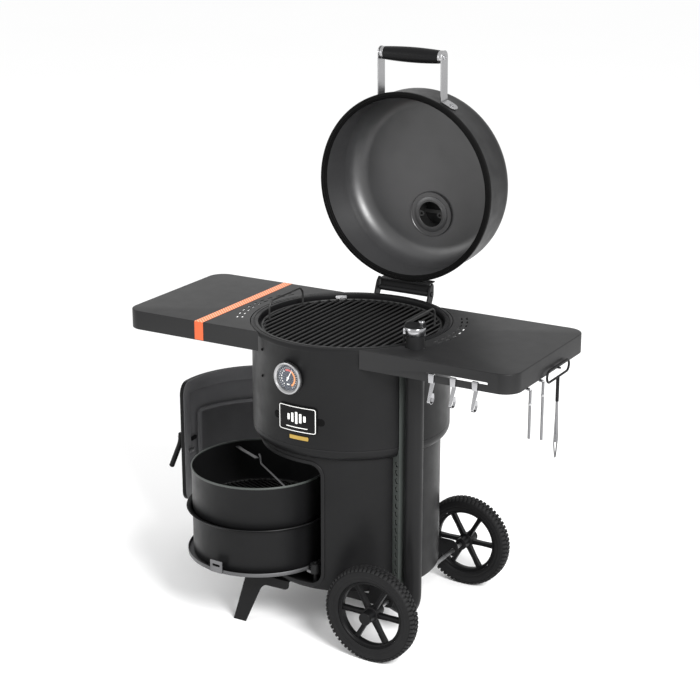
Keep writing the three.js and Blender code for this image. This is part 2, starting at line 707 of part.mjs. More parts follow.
/** Exhaust collar: two rings inside the lid, a short stack through it and a bridge for the damper's screw. */
function exhaustStack() {
  const bore = 40.4;
  const neckRadius = 43.4;
  const [top, under] = [VENT.z + 38, VENT.z - 4.5];
  const stack = lathe([
    [bore, under - 3], [57, under - 3], [57, under], [72, under], [72, under + SHEET],
    [neckRadius, under + SHEET], [neckRadius, top], [bore, top],
  ], 24);
  const bridge = box([-42, 42], [-6, 6], [top - 6, top - 3]);
  return opened(join(stack, bridge).translate(0, VENT.y, 0));
}

function exhaustCap() {
  const bottom = VENT.z + 38 + 2 * GAP;
  const cap = lathe([
    [0, bottom], [52, bottom], [52, bottom + 4], [14, bottom + 7], [6, bottom + 9], [6, bottom + 14],
    [11, bottom + 17], [11, bottom + 25], [0, bottom + 27],
  ], 20);
  return opened(cap.translate(0, VENT.y, 0));
}

/** Hinge bracket on the back of the barrel: a plate, two ears and the pin between them. */
function hingeBase() {
  const [y0, top] = [301.5, HINGE.z + 35];
  const plate = box([-100, 100], [y0, y0 + 3], [842, 905]);
  const ear = (x) => {
    const shape = new THREE.Shape([v2(y0, 845), v2(HINGE.y - 2, 890), v2(HINGE.y + 15, HINGE.z - 6),
      v2(HINGE.y + 15, top - 8), v2(HINGE.y + 7, top), v2(HINGE.y - 8, top - 14), v2(y0, 905)]);
    return alongX(shape, x, x + 6);
  };
  const pin = rod([v3(-90, HINGE.y, HINGE.z), v3(90, HINGE.y, HINGE.z)], 4, 16);
  return join(plate, ear(-96), ear(90), pin);
}

add("lid_shell", lidShell(), enamel);
add("lid_seal", lidSeal(), rubber);
add("lid_arm_left", lidArm(-1), steel);
add("lid_arm_right", lidArm(1), steel);
add("lid_grip", lidGrip(), plastic);
add("lid_hinge_leaf", lidHingeLeaf(), blackPaint);
add("exhaust_stack", exhaustStack(), enamel);
add("exhaust_cap", exhaustCap(), enamel);
add("hinge_base", hingeBase(), blackPaint);

// ---- door, drawn closed and then swung open -----------------------------------------------------------
const doorPivot = polar(DOOR_PIVOT.radius, DOOR_PIVOT.angle, 0);
const doorSwing = (geometry) => swung(geometry, doorPivot, -DOOR_OPEN);

function doorShell() {
  const flange = 44;
  const skin = bentPanel(DOOR_INNER, DOOR_OUTER, DOOR);
  const pocket = bentPanel(DOOR_INNER - 20, DOOR_OUTER - SHEET, grown(DOOR, -flange));
  const behind = bentPanel(DOOR_INNER + SHEET, DOOR_OUTER - SHEET, grown(DOOR, -SHEET));
  const latchHole = outwards(ring(0, 6, -30, 30, 16), DOOR_OUTER, LATCH.angle, LATCH.z);
  return doorSwing(cut(skin, pocket, behind, latchHole));
}

/** Heat shield fixed inside the door. */
function doorLiner() {
  const edge = { from: -128, to: -4.5, bottom: 240, top: 459, corner: 20 };
  return doorSwing(bentPanel(DOOR_OUTER - SHEET - 9, DOOR_OUTER - SHEET - 7.5, edge));
}

/** Knuckle strap that carries the door on its hinge post. */
function doorHinge() {
  const strap = bent(DOOR_OUTER + HUG, DOOR_OUTER + 3.5, steps(-153.6, -136, 4), () => 190, () => 545);
  const web = bent(DOOR_OUTER + HUG, DOOR_PIVOT.radius - 5, [-153.6, -152.8], () => 190, () => 545);
  const knuckle = ring(0, 12, 190, 545, 24).translate(doorPivot.x, doorPivot.y, 0);
  const bore = ring(0, 6 + RUN, 180, 560, 24).translate(doorPivot.x, doorPivot.y, 0);
  return doorSwing(cut(join(strap, web, knuckle), bore));
}

/** Post on the drum that the door turns on, held by an arm at its top and bottom. */
function doorPost() {
  const post = ring(0, 6, 166, 569, 24).translate(doorPivot.x, doorPivot.y, 0);
  const arm = (z) => {
    const inner = LOWER_RADIUS + GAP;
    const angles = steps(DOOR_PIVOT.angle - 3.2, DOOR_PIVOT.angle + 0.8, 3);
    return bent(inner, DOOR_PIVOT.radius + 3, angles, () => z, () => z + 5);
  };
  return join(post, arm(172), arm(552));
}

/** Tongue on the door's free edge that the latch draws home. */
function doorCatch() {
  const plate = bent(DOOR_INNER - 3, DOOR_INNER - HUG, steps(2.8, 10, 3), () => 325, () => 341);
  return doorSwing(plate);
}

/** Lever outside the door on a shaft, with a cam arm inside. */
function doorLatch() {
  const out = DOOR_OUTER + 32;
  const shaft = ring(0, 5, DOOR_INNER + 4 - DOOR_OUTER, 36, 16);
  const boss = ring(0, 12, GAP, 8, 16);
  const cam = box([-30, 5], [-7, 7], [DOOR_INNER + 4 - DOOR_OUTER, DOOR_INNER + 8 - DOOR_OUTER]);
  const stem = outwards(join(shaft, boss, cam), DOOR_OUTER, LATCH.angle, LATCH.z);
  const at = (distance, z) => polar(distance, LATCH.angle, z);
  const lever = rod(
    rounded([at(out, LATCH.z + 14), at(out + 2, LATCH.z - 18), at(out + 42, LATCH.z - 102)], 16, 3), 9, 12,
  );
  return doorSwing(join(stem, lever));
}

add("door_shell", doorShell(), blackPaint);
add("door_liner", doorLiner(), steel);
add("door_hinge", doorHinge(), blackPaint);
add("door_post", doorPost(), blackPaint);
add("door_catch", doorCatch(), steel);
add("door_latch", doorLatch(), plastic);

// ---- swing-out tray with the ash pan and the charcoal basket ------------------------------------------
const trayPivot = polar(TRAY_PIVOT.radius, TRAY_PIVOT.angle, 0);
const traySwing = (geometry) => swung(geometry, trayPivot, TRAY_OPEN);

function tray() {
  const floor = TRAY_BOTTOM + SHEET;
  const plate = lathe([
    [0, TRAY_BOTTOM], [222.5, TRAY_BOTTOM], [224, TRAY_BOTTOM + 1.5], [224, TRAY_BOTTOM + 12],
    [221.5, TRAY_BOTTOM + 12], [221.5, floor], [0, floor],
  ], TRAY_SEGMENTS);
  const tabAt = (angle, low, high) =>
    box([-18, 18], [-226.4, -223.6], [low, high]).rotateZ(rad(angle));
  const lug = ring(0, 15, TRAY_BOTTOM - 4, TRAY_BOTTOM + 26, 20).translate(trayPivot.x, trayPivot.y, 0);
  const arm = box([-14, 14], [-trayPivot.length() + 2, -222.8], [TRAY_BOTTOM - 4, TRAY_BOTTOM + 4]);
  arm.rotateZ(rad(TRAY_PIVOT.angle));
  const bore = ring(0, 6 + RUN, TRAY_BOTTOM - 10, TRAY_BOTTOM + 40, 24).translate(trayPivot.x, trayPivot.y, 0);
  const tabs = [tabAt(-73, TRAY_BOTTOM + 1, TRAY_BOTTOM + 34), tabAt(125, TRAY_BOTTOM + 1, TRAY_BOTTOM + 34)];
  const slot = box([-10, 10], [-240, -210], [TRAY_BOTTOM + 19, TRAY_BOTTOM + 26]).rotateZ(rad(-73));
  return traySwing(cut(join(plate, ...tabs, lug, arm), bore, slot));
}

/** Pin on the drum's floor that the tray swings on. */
function trayPost() {
  const centre = trayPivot;
  const post = lathe([
    [0, DRUM_FLOOR + SHEET + GAP], [16, DRUM_FLOOR + SHEET + GAP], [16, DRUM_FLOOR + SHEET + 4],
    [6, DRUM_FLOOR + SHEET + 4], [6, TRAY_BOTTOM + 32], [0, TRAY_BOTTOM + 32],
  ], 24);
  return post.translate(centre.x, centre.y, 0);
}

const PAN_BOTTOM = TRAY_BOTTOM + SHEET + GAP;
const PAN_TOP = 353;
const BASKET_BOTTOM = 342;
const BASKET_TOP = 481;
const PAN_RADIUS = 207;

function ashPan() {
  return traySwing(lathe([
    [0, PAN_BOTTOM], [PAN_RADIUS - 6, PAN_BOTTOM], [PAN_RADIUS, PAN_BOTTOM + 6], [PAN_RADIUS, PAN_TOP - 16],
    [214, PAN_TOP - 8], [225.5, PAN_TOP - 3], [224, PAN_TOP], [212.5, PAN_TOP - 5],
    [PAN_RADIUS - 2, PAN_TOP - 14], [PAN_RADIUS - 2, PAN_BOTTOM + 2], [0, PAN_BOTTOM + 2],
  ], TRAY_SEGMENTS));
}

/** Open-bottomed charcoal basket with a rolled rim and a small ledge for its grate. */
function charcoalBasket() {
  const wall = 204.5;
  return traySwing(lathe([
    [wall - 14, BASKET_BOTTOM], [wall, BASKET_BOTTOM], [wall + 2.5, BASKET_BOTTOM + 12],
    [wall + 2.5, BASKET_TOP - 7], [209.5, BASKET_TOP - 5], [209, BASKET_TOP],
    [wall + 0.5, BASKET_TOP - 1], [wall + 0.5, BASKET_BOTTOM + 12],
    [wall - 2, BASKET_BOTTOM + 2], [wall - 14, BASKET_BOTTOM + 2],
  ], TRAY_SEGMENTS));
}

/** Parallel square bars inside a flat ring, with cross bars under them, as one piece. */
function barGrid({ radius, bottom, pitch, bar, cross }) {
  const rim = 7;
  const parts = [ring(radius - rim, radius, bottom, bottom + 2 * bar, 32)];
  const rows = Math.floor((radius - rim - bar) / pitch);
  const reach = (offset) => Math.sqrt((radius - rim + 2) ** 2 - (Math.abs(offset) + bar / 2) ** 2);
  steps(-rows, rows, 2 * rows).forEach((row) => {
    const x = row * pitch;
    parts.push(box([x - bar / 2, x + bar / 2], [-reach(x), reach(x)], [bottom + 0.8 * bar, bottom + 1.8 * bar]));
  });
  cross.forEach((y) => {
    parts.push(box([-reach(y), reach(y)], [y - bar / 2, y + bar / 2], [bottom + 0.1, bottom + bar]));
  });
  return join(...parts);
}

function charcoalGrate() {
  const bottom = BASKET_BOTTOM + 2 + GAP;
  return traySwing(barGrid({ radius: 200, bottom, pitch: 28, bar: 4, cross: [0] }));
}

const BAR_TURN = -16; // degrees that the basket's lifting bar lies from Y when the tray is in

function basketBar() {
  const path = [v2(-203, 463), v2(-150, 468), v2(-28, 485)];
  const bar = alongY(stripShape(path, 3), -6, 6);
  return traySwing(bar.rotateZ(rad(BAR_TURN - 90)));
}

function basketRod() {
  const path = rounded([v3(-6, 0, 506), v3(4, 0, 502), v3(8, 0, 480), v3(203, 0, 479)], 8, 3);
  return traySwing(rod(path, 3, 8).rotateZ(rad(BAR_TURN - 90)));
}

add("tray", tray(), enamel);
add("tray_post", trayPost(), steel);
add("ash_pan", ashPan(), enamel);
add("charcoal_basket", charcoalBasket(), enamel);
add("charcoal_grate", charcoalGrate(), castIron);
add("basket_bar", basketBar(), steel);
add("basket_rod", basketRod(), steel);

// ---- cooking grate ------------------------------------------------------------------------------------
const BAR_PITCH = 20.8;
const BAR = 4.2;

function cookingGrate() {
  return barGrid({ radius: 270, bottom: GRATE_BOTTOM, pitch: BAR_PITCH, bar: BAR, cross: [] });
}

/** Wire handle that stands on the eleventh bar from the middle; side is -1 left, 1 right. */
function grateHandle(side) {
  const x = side * 11 * BAR_PITCH;
  const foot = GRATE_BOTTOM + 1.8 * BAR + GAP;
  const [half, top] = [95, 966];
  const corners = [v3(x, -half, foot), v3(x, -half, top - 15), v3(x, 14 - half, top), v3(x, half - 14, top),
    v3(x, half, top - 15), v3(x, half, foot)];
  return rod(rounded(corners, 10, 3), 3, 8);
}

add("cooking_grate", cookingGrate(), castIron);
add("grate_handle_left", grateHandle(-1), castIron);
add("grate_handle_right", grateHandle(1), castIron);

// ---- hooks and hanging tools --------------------------------------------------------------------------
/** Strap hook that sits over the strip under the table's slot. */
function strapHook(x) {
  const front = TABLE_FRONT;
  const [outside, inside] = [front - 3, front + SHEET + 3.5];
  const over = steps(180, 0, 6).map((angle) => v2(
    (outside + inside) / 2 + ((inside - outside) / 2) * Math.cos(rad(angle)), 874 + 4 * Math.sin(rad(angle)),
  ));
  const curl = steps(200, 372, 8).map((angle) =>
    v2(front - 3 + 13.5 * Math.cos(rad(angle)), 815 + 14.5 * Math.sin(rad(angle))));
  const path = [v2(outside, 861), ...over, v2(inside, 854), ...curl, v2(front + 9, 828)];
  return alongX(stripShape(path, 2), x - 8.5, x + 8.5);
}

[399, 466, 533].forEach((x, i) => add(`hook_${i + 1}`, strapHook(x), chrome));

const RACK = TABLE_END + 6; // plane in which the tools hang, outside the right table's end

/** Straight rod that hangs by a bent top over the skirt's lower edge. */
function hangingRod(y, bottom) {
  const inside = TABLE_END - SHEET - 5;
  const path = rounded([v3(inside, y, 871), v3(inside, y, 857), v3(RACK, y, 857), v3(RACK, y, bottom)], 5, 3);
  return rod(path, 4, 10);
}

add("hanging_rod_1", hangingRod(-155, 714), steel);
add("hanging_rod_2", hangingRod(-70, 683), steel);

/** Lifting tool: wire loop handle, sleeve, rod and a narrow pointed wire loop. */
function liftingTool() {
  const y = 25;
  const x = RACK + 3;
  const half = 76;
  const [low, high] = [843, 877];
  const middle = (low + high) / 2;
  const curve = (from, to, centre) => steps(from, to, 6).map((angle) =>
    v3(x, centre + 17 * Math.cos(rad(angle)), middle + 17 * Math.sin(rad(angle))));
  const loop = rod([...curve(-90, 90, y + half - 17), ...curve(90, 270, y - half + 17)], 3.4, 8, true);
  const sleeve = rod([v3(x, y, low), v3(x, y, 770)], 5, 10);
  const stem = rod([v3(x, y, 773), v3(x, y, 647)], 4, 10);
  const wire = rod([v3(x, y + 3, 767), v3(x, y + 13, 655), v3(x, y + 2, 599), v3(x, y - 2, 599),
    v3(x, y - 13, 645), v3(x, y - 3, 767)], 2, 8);
  return join(loop, sleeve, stem, wire);
}

/** Peg on the table's end that the lifting tool's loop hangs on. */
function toolPeg() {
  return rod([v3(TABLE_END + GAP, 25, 870), v3(TABLE_END + 17, 25, 870)], 3, 10);
}

add("lifting_tool", liftingTool(), steel);
add("tool_peg", toolPeg(), blackPaint);

// ---- centre the part on its own box -------------------------------------------------------------------
const whole = new THREE.Box3().setFromObject(smoker);
const middle = whole.getCenter(new THREE.Vector3());
smoker.children.forEach((mesh) => mesh.geometry.translate(-middle.x, -middle.y, -whole.min.z));

export default smoker;
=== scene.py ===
"""Looks of a vertical drum smoker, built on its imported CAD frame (Blender 4.5).

Lengths are millimetres round the drum's own axis: +Z up from the ground, +X along the side tables towards the
hanging tools, +Y towards the lid hinge. Angles round the drum are degrees from the front towards +X.
The lid, the door and the tray are drawn closed and then swung to where they stand.
"""
import json
from math import asin, cos, degrees, radians, sin, sqrt

import bmesh
import bpy
from mathutils import Matrix, Vector


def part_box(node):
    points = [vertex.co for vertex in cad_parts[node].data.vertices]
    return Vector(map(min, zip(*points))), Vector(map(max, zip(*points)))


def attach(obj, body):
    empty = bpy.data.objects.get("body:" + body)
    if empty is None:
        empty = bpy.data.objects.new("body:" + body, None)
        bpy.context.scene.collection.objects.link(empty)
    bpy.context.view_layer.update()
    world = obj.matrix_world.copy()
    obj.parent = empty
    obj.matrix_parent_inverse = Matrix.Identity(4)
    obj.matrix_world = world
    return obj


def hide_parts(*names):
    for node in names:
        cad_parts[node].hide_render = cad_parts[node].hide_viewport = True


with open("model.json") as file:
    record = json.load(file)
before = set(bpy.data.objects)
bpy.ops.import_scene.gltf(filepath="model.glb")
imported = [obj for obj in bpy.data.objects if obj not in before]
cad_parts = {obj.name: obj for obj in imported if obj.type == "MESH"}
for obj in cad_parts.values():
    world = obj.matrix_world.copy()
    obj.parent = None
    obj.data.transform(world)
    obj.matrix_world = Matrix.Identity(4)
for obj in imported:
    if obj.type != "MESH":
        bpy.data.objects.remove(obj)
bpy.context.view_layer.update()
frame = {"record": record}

record = frame["record"]
NODE_BODY = {node: body for body, nodes in record["behaviour"]["bodies"].items() for node in nodes}
NODE_SLOT = {part["node"]: part["material_slot"] for part in record["subparts"]}

barrel_low, barrel_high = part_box("upper_barrel")
AXIS = (barrel_low + barrel_high) / 2
TO_FRAME = Matrix.Translation((AXIS.x, AXIS.y, 0)) @ Matrix.Scale(0.001, 4)

# ---- driving dimensions -------------------------------------------------------------------------------
SHEET = 2.5
UPPER_RADIUS = 297
LOWER_RADIUS = 270
DRUM_FLOOR = 157
NECK = (576, 606)  # bottom and top of the rounded shoulder above the lower drum
SEAM = 612
RIM_TOP = 920.5

TABLE_TOP = 920
TABLE_BOTTOM = 862
TABLE_FRONT = -250
TABLE_BACK = 250
TABLE_END = 649
TABLE_CORNER = 52
TABLE_CUT = 302  # radius cut out of the tables round the barrel
STRIP = (-393.5, -363)  # both edges of the orange strip, along X

# panels on the drum: start and end angle, bottom, top, corner radius
OPENING = (-140, 10.8, 176, 552, 36)
DOOR = (-145, 14.2, 158.5, 574, 40)
DOOR_LINER = (-128, -4.5, 240, 459, 20)
DOOR_OUTER = 290
LATCH = (2.7, 366)  # angle and height of the lever's shaft

LID_BASE = 921.5
LID_WALL = 288
LID_DEPTH = 190
LID_CORNER = 64
VENT = (0, 122, LID_BASE + LID_DEPTH)  # middle of the exhaust, in the closed lid's top
GRIP = (400, LID_BASE + 58, 21)  # distance out from the lid's axis, height, half width of its arms

TRAY_BOTTOM = 203
PAN_TOP = 353
BASKET_BOTTOM = 342
BASKET_TOP = 481
GRATE_BOTTOM = 901.5

PIPE_RADIUS = 26.5
PIPE_TOP = 980
PIPE_LOW = 95
PIPE_TURN = 63.4  # angle of the intake pipe round the drum
PIPE_DISTANCE = 328
INLET_DISTANCE = 140  # from the axis to where the pipe enters the floor
GAUGE = (297.6, -6.5, 817)  # distance from the axis, angle, height
WHEEL = (245, 306, 145.8)  # axle's X, distance of each wheel from the middle, radius
RACK = TABLE_END + 6  # X of the rods that hang at the right table's end
HINGE_PIN = (0, 328, 930)
TRAY_TURN = 4.2

EYE = (2515.8, -4334.1, 2407.6)
LOOK_AT = (-9.7, 7.1, 820.6)
FOCAL_LENGTH = 90.4
FLOOR_REACH = 40  # metres
LAMPS = {  # place and aim in metres, width in metres, power in watts
    "key": ((3.6, -2.4, 3.4), (0, 0, 1.0), 2.0, 360),
    "fill": ((-3.2, -3.6, 2.2), (0, 0, 0.8), 2.4, 45),
}


def polar(distance, angle, z=0.0):
    """Point at a distance from the drum's axis, at an angle in degrees from the front towards +X."""
    turn = radians(angle)
    return Vector((distance * sin(turn), -distance * cos(turn), z))


def turned(angle, axis, centre=(0, 0, 0)):
    """Turn in degrees about a line through a point."""
    centre = Vector(centre)
    return Matrix.Translation(centre) @ Matrix.Rotation(radians(angle), 4, axis) @ Matrix.Translation(-centre)


def outwards(distance, angle, z):
    """Stands a piece drawn on its own Z axis out from the drum, facing outwards."""
    facing = turned(angle, "Z") @ Matrix.Translation((0, -distance, 0)) @ turned(90, "X")
    return Matrix.Translation((0, 0, z)) @ facing


DOOR_PIVOT = polar(310, -154.3)
TRAY_PIVOT = polar(245.7, TRAY_TURN)
PIPE = polar(PIPE_DISTANCE, PIPE_TURN)
LID_OPEN = turned(-89, "X", HINGE_PIN)
DOOR_OPEN = turned(-90.8, "Z", DOOR_PIVOT)
TRAY_OPEN = turned(69.5, "Z", TRAY_PIVOT)
OPENED = {
    "lid": LID_OPEN, "exhaust_damper": LID_OPEN, "door": DOOR_OPEN, "door_lever": DOOR_OPEN,
    "swing_tray": TRAY_OPEN, "ash_drawer": TRAY_OPEN, "fire_basket": TRAY_OPEN,
}


# ---- shapes: each is a list of points and a list of faces ---------------------------------------------
def join(*shapes):
    points, faces = [], []
    for more_points, more_faces in shapes:
        base = len(points)
        points += more_points
        faces += [[base + i for i in face] for face in more_faces]
    return points, faces


def placed(shape, matrix):
    return [matrix @ Vector(p) for p in shape[0]], shape[1]


def stood(shape, place, angle, axis="X"):
    """The shape turned in degrees about an axis and then moved to a place."""
    return placed(shape, Matrix.Translation(place) @ turned(angle, axis))


def at(shape, x, y, z):
    return placed(shape, Matrix.Translation((x, y, z)))


def spread(start, end, count):
    """Evenly spaced numbers, both ends included."""
    return [start + (end - start) * i / count for i in range(count + 1)]


def curve(start, pull, end, count=6):
    """Smooth bend from start to end that leaves and arrives along the lines to a third point."""
    start, pull, end = Vector(start), Vector(pull), Vector(end)
    return [(1 - t) ** 2 * start + 2 * t * (1 - t) * pull + t * t * end for t in spread(0, 1, count)]


def bend(corners, reach, count=6, closed=False):
    """Polyline whose corners are rounded off, each bend starting the given reach before its corner."""
    corners = [Vector(c) for c in corners]
    total = len(corners)
    path = [] if closed else [corners[0]]
    for i in range(0 if closed else 1, total if closed else total - 1):
        before, here, after = corners[i - 1], corners[i], corners[(i + 1) % total]
        cut = min(reach, (here - before).length / 2, (after - here).length / 2)
        start = here + (before - here).normalized() * cut
        end = here + (after - here).normalized() * cut
        for point in curve(start, here, end, count):
            if not path or (point - path[-1]).length > 1e-4:
                path.append(point)
    if closed and (path[0] - path[-1]).length < 1e-4:
        path.pop()
    if not closed:
        path.append(corners[-1])
    return path


def circle(radius, count, start=0.0, end=360.0):
    """Points of a circle, or of an arc with both its ends."""
    whole = end - start == 360
    angles = spread(start, end, count)[: count if whole else count + 1]
    return [(radius * cos(radians(a)), radius * sin(radians(a))) for a in angles]


def stadium(length, width, count=8):
    """Outline of a slot with round ends, lying along its first coordinate."""
    radius, half = width / 2, (length - width) / 2
    right = [(half + x, y) for x, y in circle(radius, count, -90, 90)]
    left = [(x - half, y) for x, y in circle(radius, count, 90, 270)]
    return right + left


def rectangle(width, height, radius, count=3):
    """Outline of a rounded rectangle centred on zero."""
    x, y = width / 2, height / 2
    return bend([(-x, -y), (x, -y), (x, y), (-x, y)], radius, count, closed=True)


def loft(rings, closed=False, caps=True):
    """Skin through rings that each have the same number of points."""
    count = len(rings[0])
    points = [Vector(p) for ring in rings for p in ring]
    faces = []
    for i in range(len(rings) if closed else len(rings) - 1):
        here, there = i * count, (i + 1) % len(rings) * count
        for j in range(count):
            k = (j + 1) % count
            faces.append([here + j, here + k, there + k, there + j])
    if caps and not closed:
        last = (len(rings) - 1) * count
        faces.append(list(range(count)))
        faces.append([last + j for j in reversed(range(count))])
    return points, faces


def lathe(profile, segments=144):
    """Turns a profile of (radius, height) about Z. It closes on itself, or starts and ends on the axis."""
    points, rows, faces = [], [], []
    for radius, z in profile:
        if radius == 0:
            rows.append([len(points)] * segments)
            points.append(Vector((0, 0, z)))
            continue
        rows.append(list(range(len(points), len(points) + segments)))
        points += [polar(radius, 360 * i / segments, z) for i in range(segments)]
    pairs = list(zip(rows, rows[1:]))
    if profile[0][0] != 0:
        pairs.append((rows[-1], rows[0]))
    for low, high in pairs:
        for i in range(segments):
            j = (i + 1) % segments
            face = list(dict.fromkeys([low[i], low[j], high[j], high[i]]))
            faces.append(face)
    return points, faces


def arc_sheet(section, start, end, count):
    """Closed section of (radius, height) points swept round the drum's axis from one angle to another."""
    return loft([[polar(r, angle, z) for r, z in section] for angle in spread(start, end, count)])


def sweep(path, sections, up=None, closed=False):
    """Section of (up, across) points carried along a path; there may be one section for each path point."""
    path = [Vector(p) for p in path]
    count = len(path)
    if not isinstance(sections[0][0], (list, tuple, Vector)) or len(sections) != count:
        sections = [sections] * count
    rings, normal = [], None
    for i, point in enumerate(path):
        before = path[i - 1] if closed or i else point
        after = path[(i + 1) % count] if closed or i < count - 1 else point
        tangent = (after - before).normalized()
        if normal is None:
            normal = Vector(up) if up else tangent.orthogonal()
        normal = (normal - tangent * normal.dot(tangent)).normalized()
        across = tangent.cross(normal)
        rings.append([point + normal * a + across * b for a, b in sections[i]])
    return loft(rings, closed=closed)


def bar(path, radius, sides=16, closed=False):
    """Round bar along a path, with its ends slightly chamfered."""
    path = [Vector(p) for p in path]
    ring = circle(radius, sides)
    if closed:
        return sweep(path, ring, closed=True)
    edge = radius * 0.25
    first = path[0] + (path[1] - path[0]).normalized() * edge
    last = path[-1] + (path[-2] - path[-1]).normalized() * edge
    small = circle(radius - edge, sides)
    return sweep([path[0], first, *path[1:-1], last, path[-1]], [small, *[ring] * len(path), small])


def filled(outline, holes=()):
    """Flat fill of an outline with holes, as triangles over its points in the order given."""
    flat = bmesh.new()
    for loop in (outline, *holes):
        corners = [flat.verts.new((p[0], p[1], 0)) for p in loop]
        for a, b in zip(corners, corners[1:] + corners[:1]):
            flat.edges.new((a, b))
    bmesh.ops.triangle_fill(flat, use_beauty=True, edges=flat.edges[:])
    flat.verts.index_update()
    faces = [[v.index for v in face.verts] for face in flat.faces]
    border = [[v.index for v in edge.verts] for edge in flat.edges if len(edge.link_faces) == 1]
    points = [(v.co.x, v.co.y) for v in flat.verts]
    flat.free()
    return points, faces, border


def plate(outline, low, high, holes=(), place=lambda a, b, t: (a, b, t)):
    """Flat plate with holes; place says where its two flat coordinates and its thickness go."""
    flat, faces, border = filled(outline, holes)
    count = len(flat)
    points = [Vector(place(a, b, t)) for t in (low, high) for a, b in flat]
    sides = [[a, b, b + count, a + count] for a, b in border]
    return points, faces + [[i + count for i in reversed(face)] for face in faces] + sides


def on_x(a, b, t):
    """Plate drawn in (y, z), with its thickness along X."""
    return (t, a, b)


def on_y(a, b, t):
    """Plate drawn in (x, z), with its thickness along Y."""
    return (a, t, b)


def block(x, y, z):
    return plate([(x[0], y[0]), (x[1], y[0]), (x[1], y[1]), (x[0], y[1])], *z)


def panel_ring(panel, radius, grow=0.0):
    """Outline of a panel with rounded corners on a cylinder: its lower edge, then its upper edge."""
    start, end, bottom, top, corner = panel
    wider = degrees(grow / LOWER_RADIUS)
    start, end, bottom, top = start - wider, end + wider, bottom - grow, top + grow
    corner = max(corner + grow, 1.5)
    turn = degrees(corner / LOWER_RADIUS)
    quarter = [radians(a) for a in spread(0, 90, 8)]
    angles = [start + turn * (1 - cos(q)) for q in quarter]
    angles += spread(start + turn, end - turn, 40)[1:-1]
    angles += [end - turn * (1 - cos(q)) for q in reversed(quarter)]
    rises = [corner * (1 - sin(q)) for q in quarter]
    rises += [0] * (len(angles) - 2 * len(rises)) + rises[::-1]
    lower = [polar(radius, a, bottom + r) for a, r in zip(angles, rises)]
    upper = [polar(radius, a, top - r) for a, r in zip(angles, rises)]
    return lower + upper[::-1]


def panel_shell(panel, rings):
    """Curved panel skinned through (radius, growth) outlines, closed over at the first and the last."""
    points, faces = loft([panel_ring(panel, radius, grow) for radius, grow in rings], caps=False)
    count = len(points) // len(rings)
    for base in (0, len(points) - count):
        for i in range(count // 2 - 1):
            faces.append([base + i, base + i + 1, base + count - 2 - i, base + count - 1 - i])
    return points, faces


def panel_frame(panel, rings):
    """Curved frame skinned through (radius, growth) outlines and back to the first of them."""
    return loft([panel_ring(panel, radius, grow) for radius, grow in rings], closed=True)


def screw(radius, height):
    """Low domed screw head with a socket in it, standing on Z = 0."""
    return lathe([
        (0, 0), (radius, 0), (radius, height * 0.35), (radius * 0.86, height * 0.8), (radius * 0.6, height),
        (radius * 0.42, height), (radius * 0.38, height * 0.55), (0, height * 0.5),
    ], 24)


def make_mesh(name, shape):
    mesh = bpy.data.meshes.new(name)
    mesh.from_pydata([tuple(p) for p in shape[0]], [], shape[1])
    solid = bmesh.new()
    solid.from_mesh(mesh)
    bmesh.ops.recalc_face_normals(solid, faces=solid.faces)
    solid.to_mesh(mesh)
    solid.free()
    return mesh


def carved(shape, *cutters):
    """The shape with closed cutting shapes taken out of it."""
    target = bpy.data.objects.new("carving", make_mesh("carving", shape))
    tool = bpy.data.objects.new("cutter", make_mesh("cutter", join(*cutters)))
    for thing in (target, tool):
        bpy.context.scene.collection.objects.link(thing)
    cut = target.modifiers.new("cut", "BOOLEAN")
    cut.operation, cut.solver, cut.object, cut.use_self = "DIFFERENCE", "EXACT", tool, True
    done = target.evaluated_get(bpy.context.evaluated_depsgraph_get())
    mesh = done.to_mesh()
    result = [v.co.copy() for v in mesh.vertices], [list(p.vertices) for p in mesh.polygons]
    done.to_mesh_clear()
    for thing in (target, tool):
        data = thing.data
        bpy.data.objects.remove(thing)
        bpy.data.meshes.remove(data)
    return result


def piece(name, shape, slot=None, body=None, bevel=0.0, look=None, trims=()):
    """Finished mesh object. One named after a CAD node stands for that node and takes its body and finish.

    A look other than the finish's own can be given, and each of the trims is one more look and a test of
    the corners of the faces that have it.
    """
    is_node = name in NODE_BODY
    slot = slot or NODE_SLOT[name]
    body = body or NODE_BODY[name]
    mesh = make_mesh(name + "_fine" if is_node else name, shape)
    mesh.transform(TO_FRAME @ OPENED.get(body, Matrix.Identity(4)))
    mesh.polygons.foreach_set("use_smooth", [True] * len(mesh.polygons))
    mesh.materials.append(LOOKS[look or slot])
    for index, (trim, test) in enumerate(trims, 1):
        mesh.materials.append(LOOKS[trim])
        for polygon, face in zip(mesh.polygons, shape[1]):
            if test([Vector(shape[0][i]) for i in face]):
                polygon.material_index = index
    thing = bpy.data.objects.new(mesh.name, mesh)
    bpy.context.scene.collection.objects.link(thing)
    if bevel:
        edge = thing.modifiers.new("edge", "BEVEL")
        edge.width, edge.segments, edge.limit_method = bevel / 1000, 2, "ANGLE"
        edge.angle_limit, edge.harden_normals = radians(40), True
    else:
        mesh.set_sharp_from_angle(angle=radians(38))
    if is_node:
        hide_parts(name)
    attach(thing, body)
    return thing


